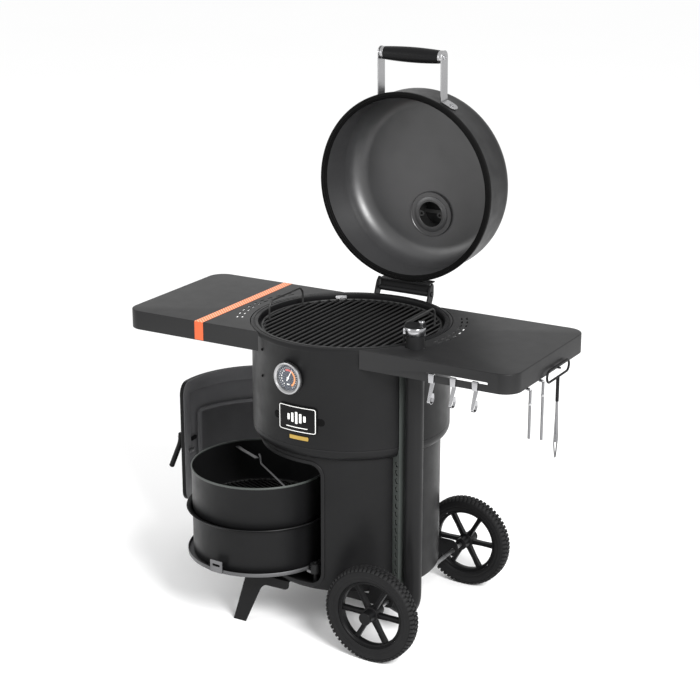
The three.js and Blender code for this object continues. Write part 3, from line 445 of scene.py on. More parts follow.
# ---- materials ----------------------------------------------------------------------------------------
class Nodes:
    """Short hand for building a material's nodes."""

    def __init__(self, name):
        self.material = bpy.data.materials.new(name)
        self.material.use_nodes = True
        self.tree = self.material.node_tree
        self.shader = self.tree.nodes["Principled BSDF"]
        self.place = self.add("ShaderNodeTexCoord").outputs["Object"]

    def add(self, kind, **settings):
        node = self.tree.nodes.new(kind)
        for key, value in settings.items():
            setattr(node, key, value)
        return node

    def link(self, source, target):
        self.tree.links.new(source, target)

    def noise(self, scale, detail=3.0, stretch=(1, 1, 1)):
        """Cloudy values from 0 to 1; scale is in cells per metre."""
        mapping = self.add("ShaderNodeMapping")
        mapping.inputs["Scale"].default_value = stretch
        noise = self.add("ShaderNodeTexNoise")
        noise.inputs["Scale"].default_value = scale
        noise.inputs["Detail"].default_value = detail
        self.link(self.place, mapping.inputs["Vector"])
        self.link(mapping.outputs["Vector"], noise.inputs["Vector"])
        return noise.outputs["Fac"]

    def between(self, value, low, high, start=0.3, end=0.7):
        """A value from start to end turned into one from low to high."""
        change = self.add("ShaderNodeMapRange")
        for key, number in {"From Min": start, "From Max": end, "To Min": low, "To Max": high}.items():
            change.inputs[key].default_value = number
        self.link(value, change.inputs["Value"])
        return change.outputs["Result"]

    def mix(self, share, first, second):
        """Colour between two; each is a colour or another node's output."""
        mix = self.add("ShaderNodeMix", data_type="RGBA")
        self.link(share, mix.inputs["Factor"])
        for socket, value in ((mix.inputs["A"], first), (mix.inputs["B"], second)):
            if isinstance(value, bpy.types.NodeSocket):
                self.link(value, socket)
            else:
                socket.default_value = (*value, 1)
        return mix.outputs["Result"]

    def relief(self, height, depth_mm, strength=1.0):
        bump = self.add("ShaderNodeBump")
        bump.inputs["Strength"].default_value = strength
        bump.inputs["Distance"].default_value = depth_mm / 1000
        self.link(height, bump.inputs["Height"])
        self.link(bump.outputs["Normal"], self.shader.inputs["Normal"])


def surface(name, colour, rough, metal=0.0, vary=0.12, grain=900, depth=0.01, stretch=(1, 1, 1), wear=0.0,
            spread_rough=0.05, shine=0.5):
    """Finish whose colour, gloss and relief vary slightly over it, worn a little paler along its edges."""
    nodes = Nodes(name)
    shader = nodes.shader
    shader.inputs["Metallic"].default_value = metal
    shader.inputs["Specular IOR Level"].default_value = shine
    clouds = nodes.between(nodes.noise(7, 5), 0, 1)
    dark = [c * (1 - vary) for c in colour]
    light = [min(c * (1 + vary), 1) for c in colour]
    tint = nodes.mix(clouds, dark, light)
    fine = nodes.noise(grain, 2, stretch)
    specks = nodes.between(fine, 0, 1, 0.62, 0.75)
    tint = nodes.mix(nodes.between(specks, 0, 0.35, 0, 1), tint, [min(c * 1.5 + 0.01, 1) for c in colour])
    if wear:
        edges = nodes.add("ShaderNodeNewGeometry").outputs["Pointiness"]
        worn = nodes.between(edges, 0, wear, 0.54, 0.62)
        tint = nodes.mix(worn, tint, [min(c * 2.2 + 0.03, 1) for c in colour])
    nodes.link(tint, shader.inputs["Base Color"])
    patches = nodes.noise(23, 3, stretch)
    nodes.link(nodes.between(patches, rough - spread_rough, rough + spread_rough), shader.inputs["Roughness"])
    nodes.relief(fine, depth)
    return nodes.material


def hatched_orange():
    """Matt orange print; where it lies flat it is painted paler, as painted light on its top, and there fine
    diagonal bands run, partly its own pattern and partly painted light and shade of an embossed texture.
    """
    nodes = Nodes("orange_paint")
    base = nodes.mix(nodes.between(nodes.noise(9, 4), 0, 1), (0.45, 0.07, 0.014), (0.52, 0.09, 0.02))
    lines = nodes.add("ShaderNodeTexWave", wave_type="BANDS", bands_direction="DIAGONAL")
    lines.inputs["Scale"].default_value = 55
    lines.inputs["Distortion"].default_value = 0
    nodes.link(nodes.place, lines.inputs["Vector"])
    facing = nodes.add("ShaderNodeSeparateXYZ")
    nodes.link(nodes.add("ShaderNodeNewGeometry").outputs["Normal"], facing.inputs["Vector"])
    # painted light: faces that point up are painted in the paler colours of a lit top, while the front keeps
    # the deeper orange
    flat = nodes.between(facing.outputs["Z"], 0, 1, 0.7, 0.9)
    stripe = nodes.between(lines.outputs["Fac"], 0, 1, 0.45, 0.6)
    # painted light and shade: the two band colours are the lit and shaded sides of the embossed diagonal
    # texture, laid over its own pattern
    lit_top_colour = nodes.mix(stripe, (0.66, 0.15, 0.05), (0.85, 0.38, 0.22))
    nodes.link(nodes.mix(flat, base, lit_top_colour), nodes.shader.inputs["Base Color"])
    nodes.link(nodes.between(nodes.noise(40, 3), 0.48, 0.6), nodes.shader.inputs["Roughness"])
    nodes.relief(nodes.noise(1400, 2), 0.01)
    return nodes.material


def lens_glass():
    nodes = Nodes("lens_glass")
    nodes.shader.inputs["Base Color"].default_value = (0.9, 0.92, 0.93, 1)
    nodes.shader.inputs["Alpha"].default_value = 0.04
    nodes.shader.inputs["Specular IOR Level"].default_value = 0.2
    nodes.link(nodes.between(nodes.noise(60, 3), 0.03, 0.08), nodes.shader.inputs["Roughness"])
    return nodes.material


FINISHES = {
    "black_paint": dict(colour=(0.006, 0.006, 0.0063), rough=0.4, grain=1500, wear=0.2, shine=0.12),
    "enamel": dict(colour=(0.006, 0.006, 0.0063), rough=0.4, grain=1100, wear=0.2, shine=0.12),
    # partly painted light: the enamel inside the lid is a lighter grey of its own, and it is painted lighter
    # still to offset the shade inside the lid
    "inner_enamel_and_painted_light": dict(colour=(0.03, 0.03, 0.031), rough=0.38, grain=1100, depth=0.012, shine=0.75),
    # painted light: this enamel, for the door's inner side and its liner, is painted far lighter than the
    # other enamels to stand in for light on faces that lie in shade
    "door_inside_painted_light": dict(colour=(0.125, 0.125, 0.13), rough=0.45, grain=1100, depth=0.012),
    "table_paint": dict(colour=(0.0075, 0.0075, 0.0078), rough=0.44, vary=0.03, grain=2200, depth=0.015,
                        wear=0.2, spread_rough=0.015, shine=0.2),
    "steel": dict(colour=(0.36, 0.36, 0.365), rough=0.32, metal=1.0, vary=0.06, grain=500, depth=0.006,
                  stretch=(1, 1, 14)),
    "rod_steel": dict(colour=(0.16, 0.16, 0.165), rough=0.25, metal=1.0, vary=0.08, grain=500, depth=0.006,
                      stretch=(14, 14, 1)),
    "dull_steel": dict(colour=(0.1, 0.1, 0.103), rough=0.48, metal=0.8, vary=0.2, grain=240, depth=0.02,
                       wear=0.3),
    "chrome": dict(colour=(0.36, 0.36, 0.37), rough=0.2, metal=1.0, vary=0.04, grain=600, depth=0.002,
                   spread_rough=0.03),
    "cast_iron": dict(colour=(0.011, 0.011, 0.011), rough=0.5, vary=0.25, grain=700, depth=0.05),
    "rubber": dict(colour=(0.006, 0.006, 0.0063), rough=0.62, vary=0.2, grain=700, depth=0.05, wear=0.2,
                   shine=0.15),
    "seal": dict(colour=(0.003, 0.003, 0.003), rough=0.6, vary=0.2, grain=800, depth=0.04, shine=0.05),
    "plastic": dict(colour=(0.004, 0.004, 0.0043), rough=0.42, grain=1300, depth=0.02, shine=0.12),
    "dial_print": dict(colour=(0.009, 0.014, 0.03), rough=0.5, vary=0.15, depth=0.004, shine=0.1),
    "badge_enamel": dict(colour=(0.004, 0.004, 0.0042), rough=0.4, vary=0.2, depth=0.004, shine=0.1),
    "brass": dict(colour=(0.4, 0.27, 0.07), rough=0.36, metal=0.9, grain=420, depth=0.008,
                  stretch=(14, 1, 1)),
    "channel_paint": dict(colour=(0.035, 0.04, 0.037), rough=0.5, depth=0.02),
    "white_print": dict(colour=(0.72, 0.72, 0.7), rough=0.5, vary=0.05, depth=0.003),
    "orange_print": dict(colour=(0.75, 0.25, 0.05), rough=0.5, vary=0.06, depth=0.003),
    "red_print": dict(colour=(0.5, 0.05, 0.04), rough=0.5, vary=0.06, depth=0.003),
}
LOOKS = {name: surface(name, **finish) for name, finish in FINISHES.items()}
LOOKS["orange_paint"] = hatched_orange()
LOOKS["lens_glass"] = lens_glass()


def extra(name, shape, look, slot, body):
    """Small piece that no CAD node stands for, with a look of its own; the finish slot it is given is not
    used.
    """
    return piece(name, shape, slot, body, look=look)


# ---- barrel -------------------------------------------------------------------------------------------
def neck(offset):
    """Rounded shoulder between the lower drum and the seam, for its outer skin or its inner one."""
    grow, (low, high) = UPPER_RADIUS - LOWER_RADIUS, NECK
    quarter = [radians(a) for a in spread(0, 90, 14)]
    bulge = [(LOWER_RADIUS - offset + grow * sin(a), low + offset + (high - low) * (1 - cos(a)))
             for a in quarter]
    return [(LOWER_RADIUS - offset, low - 2 + offset), *bulge, (UPPER_RADIUS - offset, SEAM)]


def barrel():
    upper = lathe([
        (294.5, 613), (295.2, 612.3), (296.4, 612.3), (297, 613), (297, 902), (299.6, 905.4), (300.5, 909),
        (300.5, 916.5), (299.4, 919.6), (297, RIM_TOP), (291.6, RIM_TOP), (290.6, 919), (288.6, 919),
        (287.6, RIM_TOP), (279.8, RIM_TOP), (278.2, 919.8), (277.5, 918), (277.5, 904), (278, 903),
        (279.5, 903), (280, 904), (280, 918), (294.5, 918),
    ])
    piece("upper_barrel", upper)

    foot = [(264, DRUM_FLOOR), (266.3, 157.5), (268.3, 158.8), (269.5, 160.7), (LOWER_RADIUS, 163)]
    shell = lathe([
        (0, DRUM_FLOOR), *foot, *neck(0), *neck(SHEET)[::-1], (LOWER_RADIUS - SHEET, DRUM_FLOOR + SHEET),
        (0, DRUM_FLOOR + SHEET),
    ])
    window = panel_shell(OPENING, [(250, 0), (290, 0)])
    inlet = polar(INLET_DISTANCE, PIPE_TURN, DRUM_FLOOR)
    air_hole = at(lathe([(0, -8), (24, -8), (24, 8), (0, 8)], 32), *inlet)
    piece("lower_barrel", carved(shell, window, air_hole))

    piece("door_frame", panel_frame(OPENING, [
        (270.9, 11), (272.2, 11), (273, 10), (273, 1), (272.2, 0), (270.9, 0),
    ]))
    ledge_top = GRATE_BOTTOM - 0.3
    ledge = lathe([
        (258, ledge_top - SHEET), (294.2, ledge_top - SHEET), (294.2, ledge_top), (258.6, ledge_top),
        (258, ledge_top - 0.6),
    ])
    piece("grate_ledge", ledge)

    screws = [placed(screw(4.2, 2.4), outwards(297, -30.8, z)) for z in (871, 791)]
    extra("barrel_screws", join(*screws), "seal", "black_paint", "stand")


# ---- side tables --------------------------------------------------------------------------------------
FOLD = 3  # radius of the bend between a table's top and its skirt


def table_path(end, margin):
    """Edge of a table from the barrel at the front, round its far end, to the barrel at the back."""
    front, back = TABLE_FRONT + margin, TABLE_BACK - margin
    radius, across = TABLE_CORNER - margin, end - TABLE_CORNER
    start = (sqrt(TABLE_CUT ** 2 - front ** 2), front)
    finish = (sqrt(TABLE_CUT ** 2 - back ** 2), back)
    near = [(across + x, front + radius + y) for x, y in circle(radius, 14, -90, 0)]
    far = [(across + x, back - radius + y) for x, y in circle(radius, 14, 0, 90)]
    return [start, *near, *far, finish]


def table_shape(end, slot_turns, holes=()):
    """Folded sheet with a skirt on its three outer edges and rows of arc slots round the barrel."""
    top_path = table_path(end, FOLD)
    back, front = (degrees(asin(y / TABLE_CUT)) for y in (top_path[-1][1], top_path[0][1]))
    outline = top_path + circle(TABLE_CUT, 60, back, front)[1:-1]
    for turn in slot_turns:
        for radius in (328, 343):
            slot = [(turn + degrees(a / radius), radius + b) for a, b in stadium(22, 5.5, 6)]
            holes = [*holes, [(r * cos(radians(a)), r * sin(radians(a))) for a, r in slot]]
    flat, faces, border = filled(outline, holes)
    count, length = len(flat), len(top_path)
    points = [(x, y, TABLE_TOP) for x, y in flat] + [(x, y, TABLE_TOP - SHEET) for x, y in flat]
    faces += [[i + count for i in reversed(face)] for face in faces]
    faces += [[a, b, b + count, a + count] for a, b in border if not (a < length and b < length)]

    bends = [radians(a) for a in spread(0, 90, 5)[1:]]
    inner_fold = SHEET + 0.3
    profile = [(FOLD * (1 - sin(a)), TABLE_TOP - FOLD * (1 - cos(a))) for a in bends]
    profile += [(0, TABLE_BOTTOM + 0.7), (0.7, TABLE_BOTTOM), (SHEET - 0.7, TABLE_BOTTOM)]
    profile += [(SHEET, TABLE_BOTTOM + 0.7), (SHEET, TABLE_TOP - inner_fold)]
    rows = [list(range(length))]
    for margin, z in profile:
        rows.append(list(range(len(points), len(points) + length)))
        points += [(x, y, z) for x, y in table_path(end, margin)]
    rows.append([i + count for i in range(length)])
    for high, low in zip(rows, rows[1:]):
        faces += [[high[i], high[i + 1], low[i + 1], low[i]] for i in range(length - 1)]
    faces.append([row[0] for row in rows])
    faces.append([row[-1] for row in reversed(rows)])
    return points, faces


def tables():
    pitch = 6.2
    left = table_shape(TABLE_END, [i * pitch for i in range(-4, 5)])
    piece("left_table", placed(left, Matrix.Scale(-1, 4, (1, 0, 0))))

    pipe_hole = [(PIPE.x + x, PIPE.y + y) for x, y in circle(28.5, 36)]
    right = table_shape(TABLE_END, [i * pitch for i in range(-2, 6)], [pipe_hole])
    slot = [(476 + a, 886.5 + b) for a, b in stadium(190, 7)]
    piece("right_table", carved(right, plate(slot, TABLE_FRONT - 2, TABLE_FRONT + 6, place=on_y)))

    def arch(gap, top):
        """Line over the table from skirt to skirt, at a gap outside them."""
        front, back, low = TABLE_FRONT - gap, TABLE_BACK + gap, TABLE_BOTTOM + 2
        return bend([(back, low), (back, top), (front, top), (front, low)], FOLD + gap)

    strip = arch(0.9, TABLE_TOP + 0.5) + arch(0.3, TABLE_TOP + 0.1)[::-1]
    piece("orange_strip", plate(strip, *STRIP, place=on_x))

    section = bend([
        (297.9, 845), (300.4, 845), (300.4, 900), (322, 900), (322, 917.2), (319.5, 917.2), (319.5, 902.5),
        (297.9, 902.5),
    ], 1.2, 2, closed=True)
    for side, start, end in (("left", -125, -60), ("right", 76, 125)):
        piece(f"table_bracket_{side}", arc_sheet(section, start, end, 24))
        screws = [placed(screw(5, 3), outwards(300.4, angle, 868)) for angle in spread(start + 8, end - 8, 2)]
        extra(f"bracket_screws_{side}", join(*screws), "steel", "black_paint", "stand")
    nut = lathe([(0, 0), (5, 0), (5, 2.6), (3, 3.4), (0, 3.4)], 24)
    for side, start, end in (("left", -118, -68), ("right", 84, 117)):
        nuts = [at(nut, *polar(311, angle, TABLE_TOP - 20.4)) for angle in spread(start, end, 2)]
        extra(f"bracket_nuts_{side}", join(*nuts), "steel", "black_paint", "stand")


# ---- air intake ---------------------------------------------------------------------------------------
def intake():
    path = bend([
        (*PIPE.xy, PIPE_TOP), (*PIPE.xy, PIPE_LOW), polar(INLET_DISTANCE, PIPE_TURN, PIPE_LOW),
        polar(INLET_DISTANCE, PIPE_TURN, DRUM_FLOOR - 0.3),
    ], 68, 14)
    sides, half = 40, len(path)
    skins = [sweep(path, circle(radius, sides))[0] for radius in (PIPE_RADIUS, PIPE_RADIUS - SHEET)]
    rings = [skin[sides * i:sides * (i + 1)] for skin in skins for i in range(half)]
    piece("intake_pipe", loft(rings[:half] + rings[half:][::-1], closed=True))

    def wall(side):
        """Side of the channel: its inner edge follows the drum, and it has a column of crescent cuts."""
        edge = [(sqrt((r + 0.6) ** 2 - half_width ** 2), z) for r, z in neck(0)[:-1]]
        foot = sqrt((LOWER_RADIUS + 0.6) ** 2 - half_width ** 2)
        outline = [(foot, 172), *edge, (300, 607), (300, 172)]
        crescents = []
        for z in spread(194, 558, 14):
            arc = circle(8.5, 10, 100, 290)
            inner_arc = [(x + 4, y + 2) for x, y in circle(7, 10, 290, 100)]
            crescents.append([(288 + a, z + b) for a, b in arc + inner_arc])
        middle = side * half_width
        return plate(outline, middle - 1, middle + 1, crescents, lambda a, b, t: (t, -a, b))

    half_width = 32
    web = block((-half_width - 1, half_width + 1), (-300.2, -298.2), (170, 850))
    channel = placed(join(web, wall(-1), wall(1)), turned(PIPE_TURN, "Z"))
    piece("pipe_spacer", channel, bevel=0.4, look="channel_paint")

    def about_pipe(shape, turn):
        return stood(shape, PIPE, turn, "Z")

    band = lathe([(26.8, 957), (28.7, 957), (29.2, 957.6), (29.2, 979.4), (28.7, 980), (26.8, 980)], 64)
    ear = block((-34.5, -27.5), (-3.5, 3.5), (957.4, 974))
    piece("intake_band", about_pipe(join(band, ear), 20), bevel=0.3)
    band_screw = stood(screw(2.6, 1.6), (-31.4, -3.5, 965.5), 90)
    extra("intake_band_screw", about_pipe(band_screw, 20), "steel", "chrome", "stand")

    low = PIPE_TOP + 0.6
    cap_outline = bend(circle(31, 48, -160, 160) + [(-37.5, 8), (-37.5, -8)], 2.5, 3, closed=True)
    piece("intake_cap", about_pipe(plate(cap_outline, low, low + 3.5), -30), bevel=0.5)

    base = low + 3.8
    knob = lathe([
        (0, base), (5, base), (5, base + 4), (7.4, base + 4.6), (8, base + 5.2), (8, base + 9.4),
        (7.4, base + 10.2), (6, base + 10.7), (0, base + 10.9),
    ], 40)
    piece("intake_knob", at(knob, PIPE.x + 12, PIPE.y + 14, 0))


# ---- thermometer and name plate -----------------------------------------------------------------------
def gauge():
    stand = outwards(*GAUGE)
    case = lathe([
        (0, 0), (41.5, 0), (46.8, 1.6), (47.5, 3), (47.5, 12), (46.6, 14.2), (44.6, 15), (42, 14.6),
        (40, 12.4), (38.6, 11.4), (38.5, 5), (0, 5),
    ], 96)
    piece("thermometer_case", placed(case, stand))
    dial = lathe([(0, 5.3), (37.5, 5.3), (37.5, 6.4), (37.3, 6.5), (0, 6.5)], 96)
    piece("thermometer_dial", placed(dial, stand))

    def sector(inner, outer, start, end, steps):
        """Printed mark on the dial, between two radii and two angles."""
        outline = circle(outer, steps, start, end) + circle(inner, steps, end, start)
        return plate(outline, 6.52, 6.62)

    ticks = [sector(29.5 if i % 3 else 28, 32.5, a - 1, a + 1, 2)
             for i, a in enumerate(spread(-60, 240, 24))]
    pale = [sector(22, 25.5, a - 4, a + 4, 4) for a in spread(130, 232, 5)]
    plaque = sector(17, 21, -104, -76, 6)
    for name, marks, look in (
        ("dial_marks", join(*ticks, *pale, plaque), "white_print"),
        ("dial_warm_arc", sector(21, 26.5, -60, 62, 40), "orange_print"),
        ("dial_hot_arc", sector(21, 26.5, 66, 112, 20), "red_print"),
    ):
        extra(name, placed(marks, stand), look, "dial_print", "stand")

    blade = plate([(-2, -10), (2, -10), (1.4, 0), (0.5, 30), (-0.5, 30), (-1.4, 0)], 6.8, 8)
    hub = lathe([(0, 8.02), (4, 8.02), (4, 8.5), (3, 9), (0, 9)], 24)
    needle = join(placed(blade, turned(-28, "Z")), hub)
    piece("thermometer_needle", placed(needle, stand), look="white_print")
    lens = lathe([(0, 10), (38.3, 10), (38.3, 11), (30, 11.6), (0, 12)], 64)
    extra("gauge_lens", placed(lens, stand), "lens_glass", "dial_print", "stand")


def name_plate():
    plate_edge = (-14.4, 10.9, 655, 737, 10)
    piece("badge_plate", panel_shell(plate_edge, [(298.5, 0), (300.6, 0), (301, -0.6)]))
    border = panel_frame(plate_edge, [(300.9, -3.2), (301.25, -3.4), (301.25, -5.2), (300.9, -5.4)])
    middle, heights = -1.75, (18, 28, 36, 28, 18)
    marks = [border]
    for i, height in enumerate(heights):
        turn = middle + (i - 2) * 2.6
        mark = (turn - 0.75, turn + 0.75, 700 - height / 2, 700 + height / 2, 1.5)
        marks.append(panel_shell(mark, [(300.9, 0), (301.25, 0)]))
    marks.append(panel_shell((middle - 7, middle + 7, 670, 672.4, 1.1), [(300.9, 0), (301.25, 0)]))
    extra("badge_marks", join(*marks), "white_print", "badge_enamel", "stand")

    # painted shade: a thin plate in the darkest finish lies on the drum under the badge and out past its
    # ends, standing for the shade in the oval recess behind the badge
    slot_edge = (-18.6, 15.2, 684, 706, 10)
    recess = panel_shell(slot_edge, [(297.05, 0), (297.6, -0.2), (298, -0.8)])
    extra("badge_backing", recess, "seal", "black_paint", "stand")
    bar_edge = (-6.6, 5.5, 634, 646, 1.6)
    piece("badge_bar", panel_shell(bar_edge, [(297.3, 0), (300, 0), (300.5, -0.5)]))


# ---- legs, axle and wheels ----------------------------------------------------------------------------
def legs():
    hip, foot, top = 262, 284, DRUM_FLOOR - 0.3
    outline = [
        (-252, 0), (-208, 0), (-166, 106), *curve((-166, 106), (-157, 129), (-140, 129))[1:],
        *curve((-82, 129), (-64, 129), (-64, 146)), (-64, top), (-216, top),
    ]
    lean = (foot - hip) / top
    bracket = [
        (70, 128), (244, 126), *curve((244, 126), (264, 126), (264, 146))[1:],
        *curve((264, 146), (264, 176), (240, 180))[1:], (186, 180), (182, top), (70, top),
    ]
    bore = [(WHEEL[0] + x, WHEEL[2] + z) for x, z in circle(6.5, 24)]
    for name, side in (("front", -1), ("rear", 1)):
        leg = plate(outline, -1.5, 1.5, place=lambda a, b, t: (a, side * (foot - lean * b + t), b))
        flange = block((-150, -64), sorted((side * 205, side * (hip + 1))), (top - 3, top))
        piece(f"leg_{name}", join(leg, flange), bevel=0.7)
        arm = plate(bracket, 212 * side - 1.5, 212 * side + 1.5, [bore], on_y)
        lip = block((75, 150), sorted((side * 176, side * 212)), (top - 3, top))
        piece(f"axle_bracket_{name}", join(arm, lip), bevel=0.7)
        bolts = [stood(screw(6, 4), (x, y * side, top - 3), 180)
                 for x, y in ((-130, 225), (-84, 225), (92, 190), (134, 190))]
        extra(f"leg_bolts_{name}", join(*bolts), "steel", "black_paint", "stand")
    reach = WHEEL[1] + 36
    piece("axle", bar([(WHEEL[0], -reach, WHEEL[2]), (WHEEL[0], reach, WHEEL[2])], 6, 32))


def wheels():
    side_wall = [
        (104, 16.4), (105, 17.4), (109, 18.6), (112, 20.6), (114, 20.9), (115.4, 20.2), (117, 20.4),
        (119, 22), (124, 22.5), (126, 22.3), (127, 21.7), (128.4, 21.8), (130, 22.2), (134, 20.9), (138, 18),
        (140.6, 14.5), (141.6, 10),
    ]
    body = lathe([(r, -z) for r, z in side_wall] + [(r, z) for r, z in reversed(side_wall)], 120)
    shoulder = [(137, 21.2), (141, 20.4), (144.2, 17.8), (145.5, 14), (145.7, 9), (140, 8)]
    crown = [(140, -6), (145.2, -6), (145.8, -5.2), (145.8, 5.2), (145.2, 6), (140, 6)]
    lugs, count = [], 64
    for i in range(count):
        for section, mirror, shift in ((shoulder, 1, 0), (shoulder, -1, 0), (crown, 1, 0.5)):
            turn = 360 * (i + shift) / count
            slices = ((turn - 1.75, 0.7), (turn - 1.4, 0), (turn + 1.4, 0), (turn + 1.75, 0.7))
            lugs.append(loft([
                [polar(r - inset * (r > 139), a, z * mirror) for r, z in section] for a, inset in slices
            ]))
    tyre = join(body, *lugs)

    felloe = lathe([
        (94, -8), (95, -9.5), (98, -10), (99, -12), (100.4, -13), (101, -15), (102.2, -15.5), (103, -14.5),
        (103, 14.5), (102.2, 15.5), (101, 15), (100.4, 13), (99, 12), (98, 10), (95, 9.5), (94, 8),
    ], 96)
    hub = lathe([
        (0, 36), (6.2, 36), (6.2, -42), (17, -42), (18.6, -41), (18.6, -10), (23, -9), (24, -8), (24, 8),
        (23, 9), (18.6, 10), (18.6, 37.5), (15.8, 38.2), (15.8, 39.2), (18.4, 40), (19, 41.5), (17.8, 43),
        (0, 43),
    ], 48)
    rib = [(-7, -8), (-4.6, -8), (-3.4, -4.6), (3.4, -4.6), (4.6, -8), (7, -8)]
    section = rib + [(-x, -y) for x, y in rib]
    spokes = []
    for i in range(6):
        turn = turned(60 * i, "Z")
        spokes.append(loft([
            [turn @ Vector((r, x * width, y * width)) for x, y in section]
            for r, width in ((15, 1.04), (60, 0.9), (94, 1.0))
        ]))
    rim = join(felloe, hub, *spokes)
    for name, side in (("front", -1), ("rear", 1)):
        stand = Matrix.Translation((WHEEL[0], side * WHEEL[1], WHEEL[2])) @ turned(-90 * side, "X")
        piece(f"tyre_{name}", placed(tyre, stand))
        piece(f"wheel_rim_{name}", placed(rim, stand), bevel=0.5)


# ---- lid ----------------------------------------------------------------------------------------------
LID_FLAT = LID_WALL - LID_CORNER  # radius of the slightly crowned top, inside the rounded corner


def lid_crown(radius):
    """How far the lid's top rises above its corner at a distance from its axis."""
    return 7 * (1 - (radius / LID_FLAT) ** 2)


def lid_profile(offset):
    corner, top = LID_CORNER - offset, LID_BASE + LID_DEPTH - offset
    arc = [(LID_FLAT + x, top - corner + z) for x, z in circle(corner, 20, 0, 90)]
    return [*arc, *((radius, top + lid_crown(radius)) for radius in (180, 140, 100, 50, 0))]


def is_inside_lid(point):
    """Whether a point of the closed lid's skin lies on the inner side of its sheet."""
    out, middle = point.xy.length, LID_CORNER - SHEET / 2
    above_corner = point.z - (LID_BASE + LID_DEPTH - LID_CORNER)
    if above_corner < 0:
        return out < LID_WALL - SHEET / 2
    if out > LID_FLAT:
        return sqrt((out - LID_FLAT) ** 2 + above_corner ** 2) < middle
    return above_corner < middle + lid_crown(out)


def lid():
    base = LID_BASE
    shell = lathe([
        *lid_profile(SHEET)[::-1], (LID_WALL - SHEET, base + 1), (286.4, base), (293, base),
        (294.6, base + 0.8), (295, base + 2.4), (295, base + 10.5), (294, base + 13), (291.4, base + 15.4),
        (289, base + 17), (288, base + 20), *lid_profile(0),
    ], 180)
    hole = lathe([(0, -30), (44, -30), (44, 30), (0, 30)], 64)
    # the lid's inner faces take the inner enamel, which is partly painted light
    piece("lid_shell", carved(shell, at(hole, *VENT)), trims=[
        ("inner_enamel_and_painted_light", lambda face: all(is_inside_lid(point) for point in face)),
        ("seal", lambda face: max(point.z for point in face) <= base + 20),
    ])

    seal = lathe([
        (285.2, base + 13.6), (284.6, base + 14), (281, base + 14), (280, base + 12), (277.4, base + 10.4),
        (276.2, base + 8), (276.4, base + 4.6), (278, base + 2), (279.6, base + 1.4), (280.6, base + 2.6),
        (281.6, base + 1), (283.4, base + 0.5), (285.2, base + 1.4),
    ], 180)
    piece("lid_seal", seal)


def lid_handle():
    """Two flat arms with round ends, each bent out from its ear on the lid's wall, and the grip."""
    reach, middle, wide = GRIP
    x, ear_turn, ear_steps = 108, 0.17, 12
    wall = LID_WALL + 1.8
    ear_length = ear_turn * wall
    start = asin(x / wall)
    level = -wall * cos(start)
    for name, side in (("left", -1), ("right", 1)):
        path = [polar(wall, side * degrees(start + turn), middle) for turn in spread(ear_turn, 0, ear_steps)]
        path += curve((side * (x + 0.4), level - 3, middle), (side * (x + 0.2), level - 8, middle),
                      (side * x, level - 14, middle), 3)
        path += [(side * x, y, middle) for y in spread(level - 20, -reach, 4)]
        path += [(side * x, -reach - (wide - 0.5) * sin(radians(a)), middle) for a in spread(15, 90, 7)]
        sections = []
        for i, point in enumerate(path):
            from_end = ear_length * i / ear_steps
            past_grip = max(0, -reach - Vector(point).y)
            half = sqrt(max(wide ** 2 - max(wide - from_end, 0) ** 2, 1))
            half = min(half, sqrt(max(wide ** 2 - past_grip ** 2, 1)))
            sections.append([(-1.5, -half), (-1.2, -half - 0.3), (1.2, -half - 0.3), (1.5, -half),
                             (1.5, half), (1.2, half + 0.3), (-1.2, half + 0.3), (-1.5, half)])
        outward = polar(1, side * degrees(start + ear_turn))
        piece(f"lid_arm_{name}", sweep(path, sections, up=outward))
        ear_screw = placed(screw(7, 2.6), outwards(wall + 1.5, side * degrees(start + 0.1), middle))
        grip_screw = stood(screw(8, 3), (side * (x + 1.5), -reach, middle), 90 * side, "Y")
        extra(f"lid_handle_screws_{name}", join(ear_screw, grip_screw), "chrome", "steel", "lid")
        ferrule = lathe([
            (0, 94), (19.4, 94), (19.8, 94.6), (19.8, 103.6), (18.6, 105.4), (15, 106.2), (0, 106.2),
        ], 48)
        ferrule = stood(ferrule, (0, -reach, middle), 90 * side, "Y")
        extra(f"lid_ferrule_{name}", ferrule, "steel", "steel", "lid")

    waist = [(23.5 - 3.6 * (h / 94) ** 2, h) for h in spread(-93, 93, 24)]
    grip = lathe([(0, -93.8), (19, -93.8), *waist, (19, 93.8), (0, 93.8)], 64)
    piece("lid_grip", stood(grip, (0, -reach, middle), 90, "Y"))


def exhaust():
    """Collar through the lid's top with its damper cap above it."""
    low, high = VENT[2] - 4.5, VENT[2] + 38
    stack = lathe([
        (40.4, low - 3), (41.4, low - 4.2), (44, low - 4.2), (45, low - 3), (55.6, low - 3), (57, low - 2),
        (57, low), (70, low), (71.2, low - 1.2), (72, low), (72, low + SHEET), (43.4, low + SHEET),
        (43.4, high - 0.6), (42.8, high), (41, high), (40.4, high - 0.6),
    ], 96)
    bridge = block((-42, 42), (-6, 6), (high - 6, high - 3))
    tab_edge = [(22, 0), *curve((26, -7), (36, -10), (42, -11)), *curve((42, 11), (36, 10), (26, 7))]
    tab = plate(tab_edge, low - 2.6, low - 0.6)
    tabs = [placed(tab, turned(turn, "Z")) for turn in (0, 180)]

    def in_bore(face):
        return all((point.xy - Vector(VENT[:2])).length < 43.5 for point in face)

    piece("exhaust_stack", at(join(stack, bridge, *tabs), *VENT[:2], 0), trims=[
        ("inner_enamel_and_painted_light", lambda face: not in_bore(face)),
        ("cast_iron", in_bore),
    ])
    heads = [stood(screw(4, 2.2), (x, 0, low - 2.6), 180) for x in (-32, 32)]
    extra("vent_screws", at(join(*heads), *VENT[:2], 0), "seal", "enamel", "lid")
    cap = lathe([
        (0, 0), (51, 0), (52, 0.8), (52, 3.2), (51, 4.2), (30, 6), (14, 7), (7, 8), (6, 10), (6, 14),
        (9.6, 15.4), (11, 17.4), (11, 23.5), (10, 25.6), (7, 26.8), (0, 27),
    ], 72)
    piece("exhaust_cap", at(cap, *VENT[:2], high + 0.6))


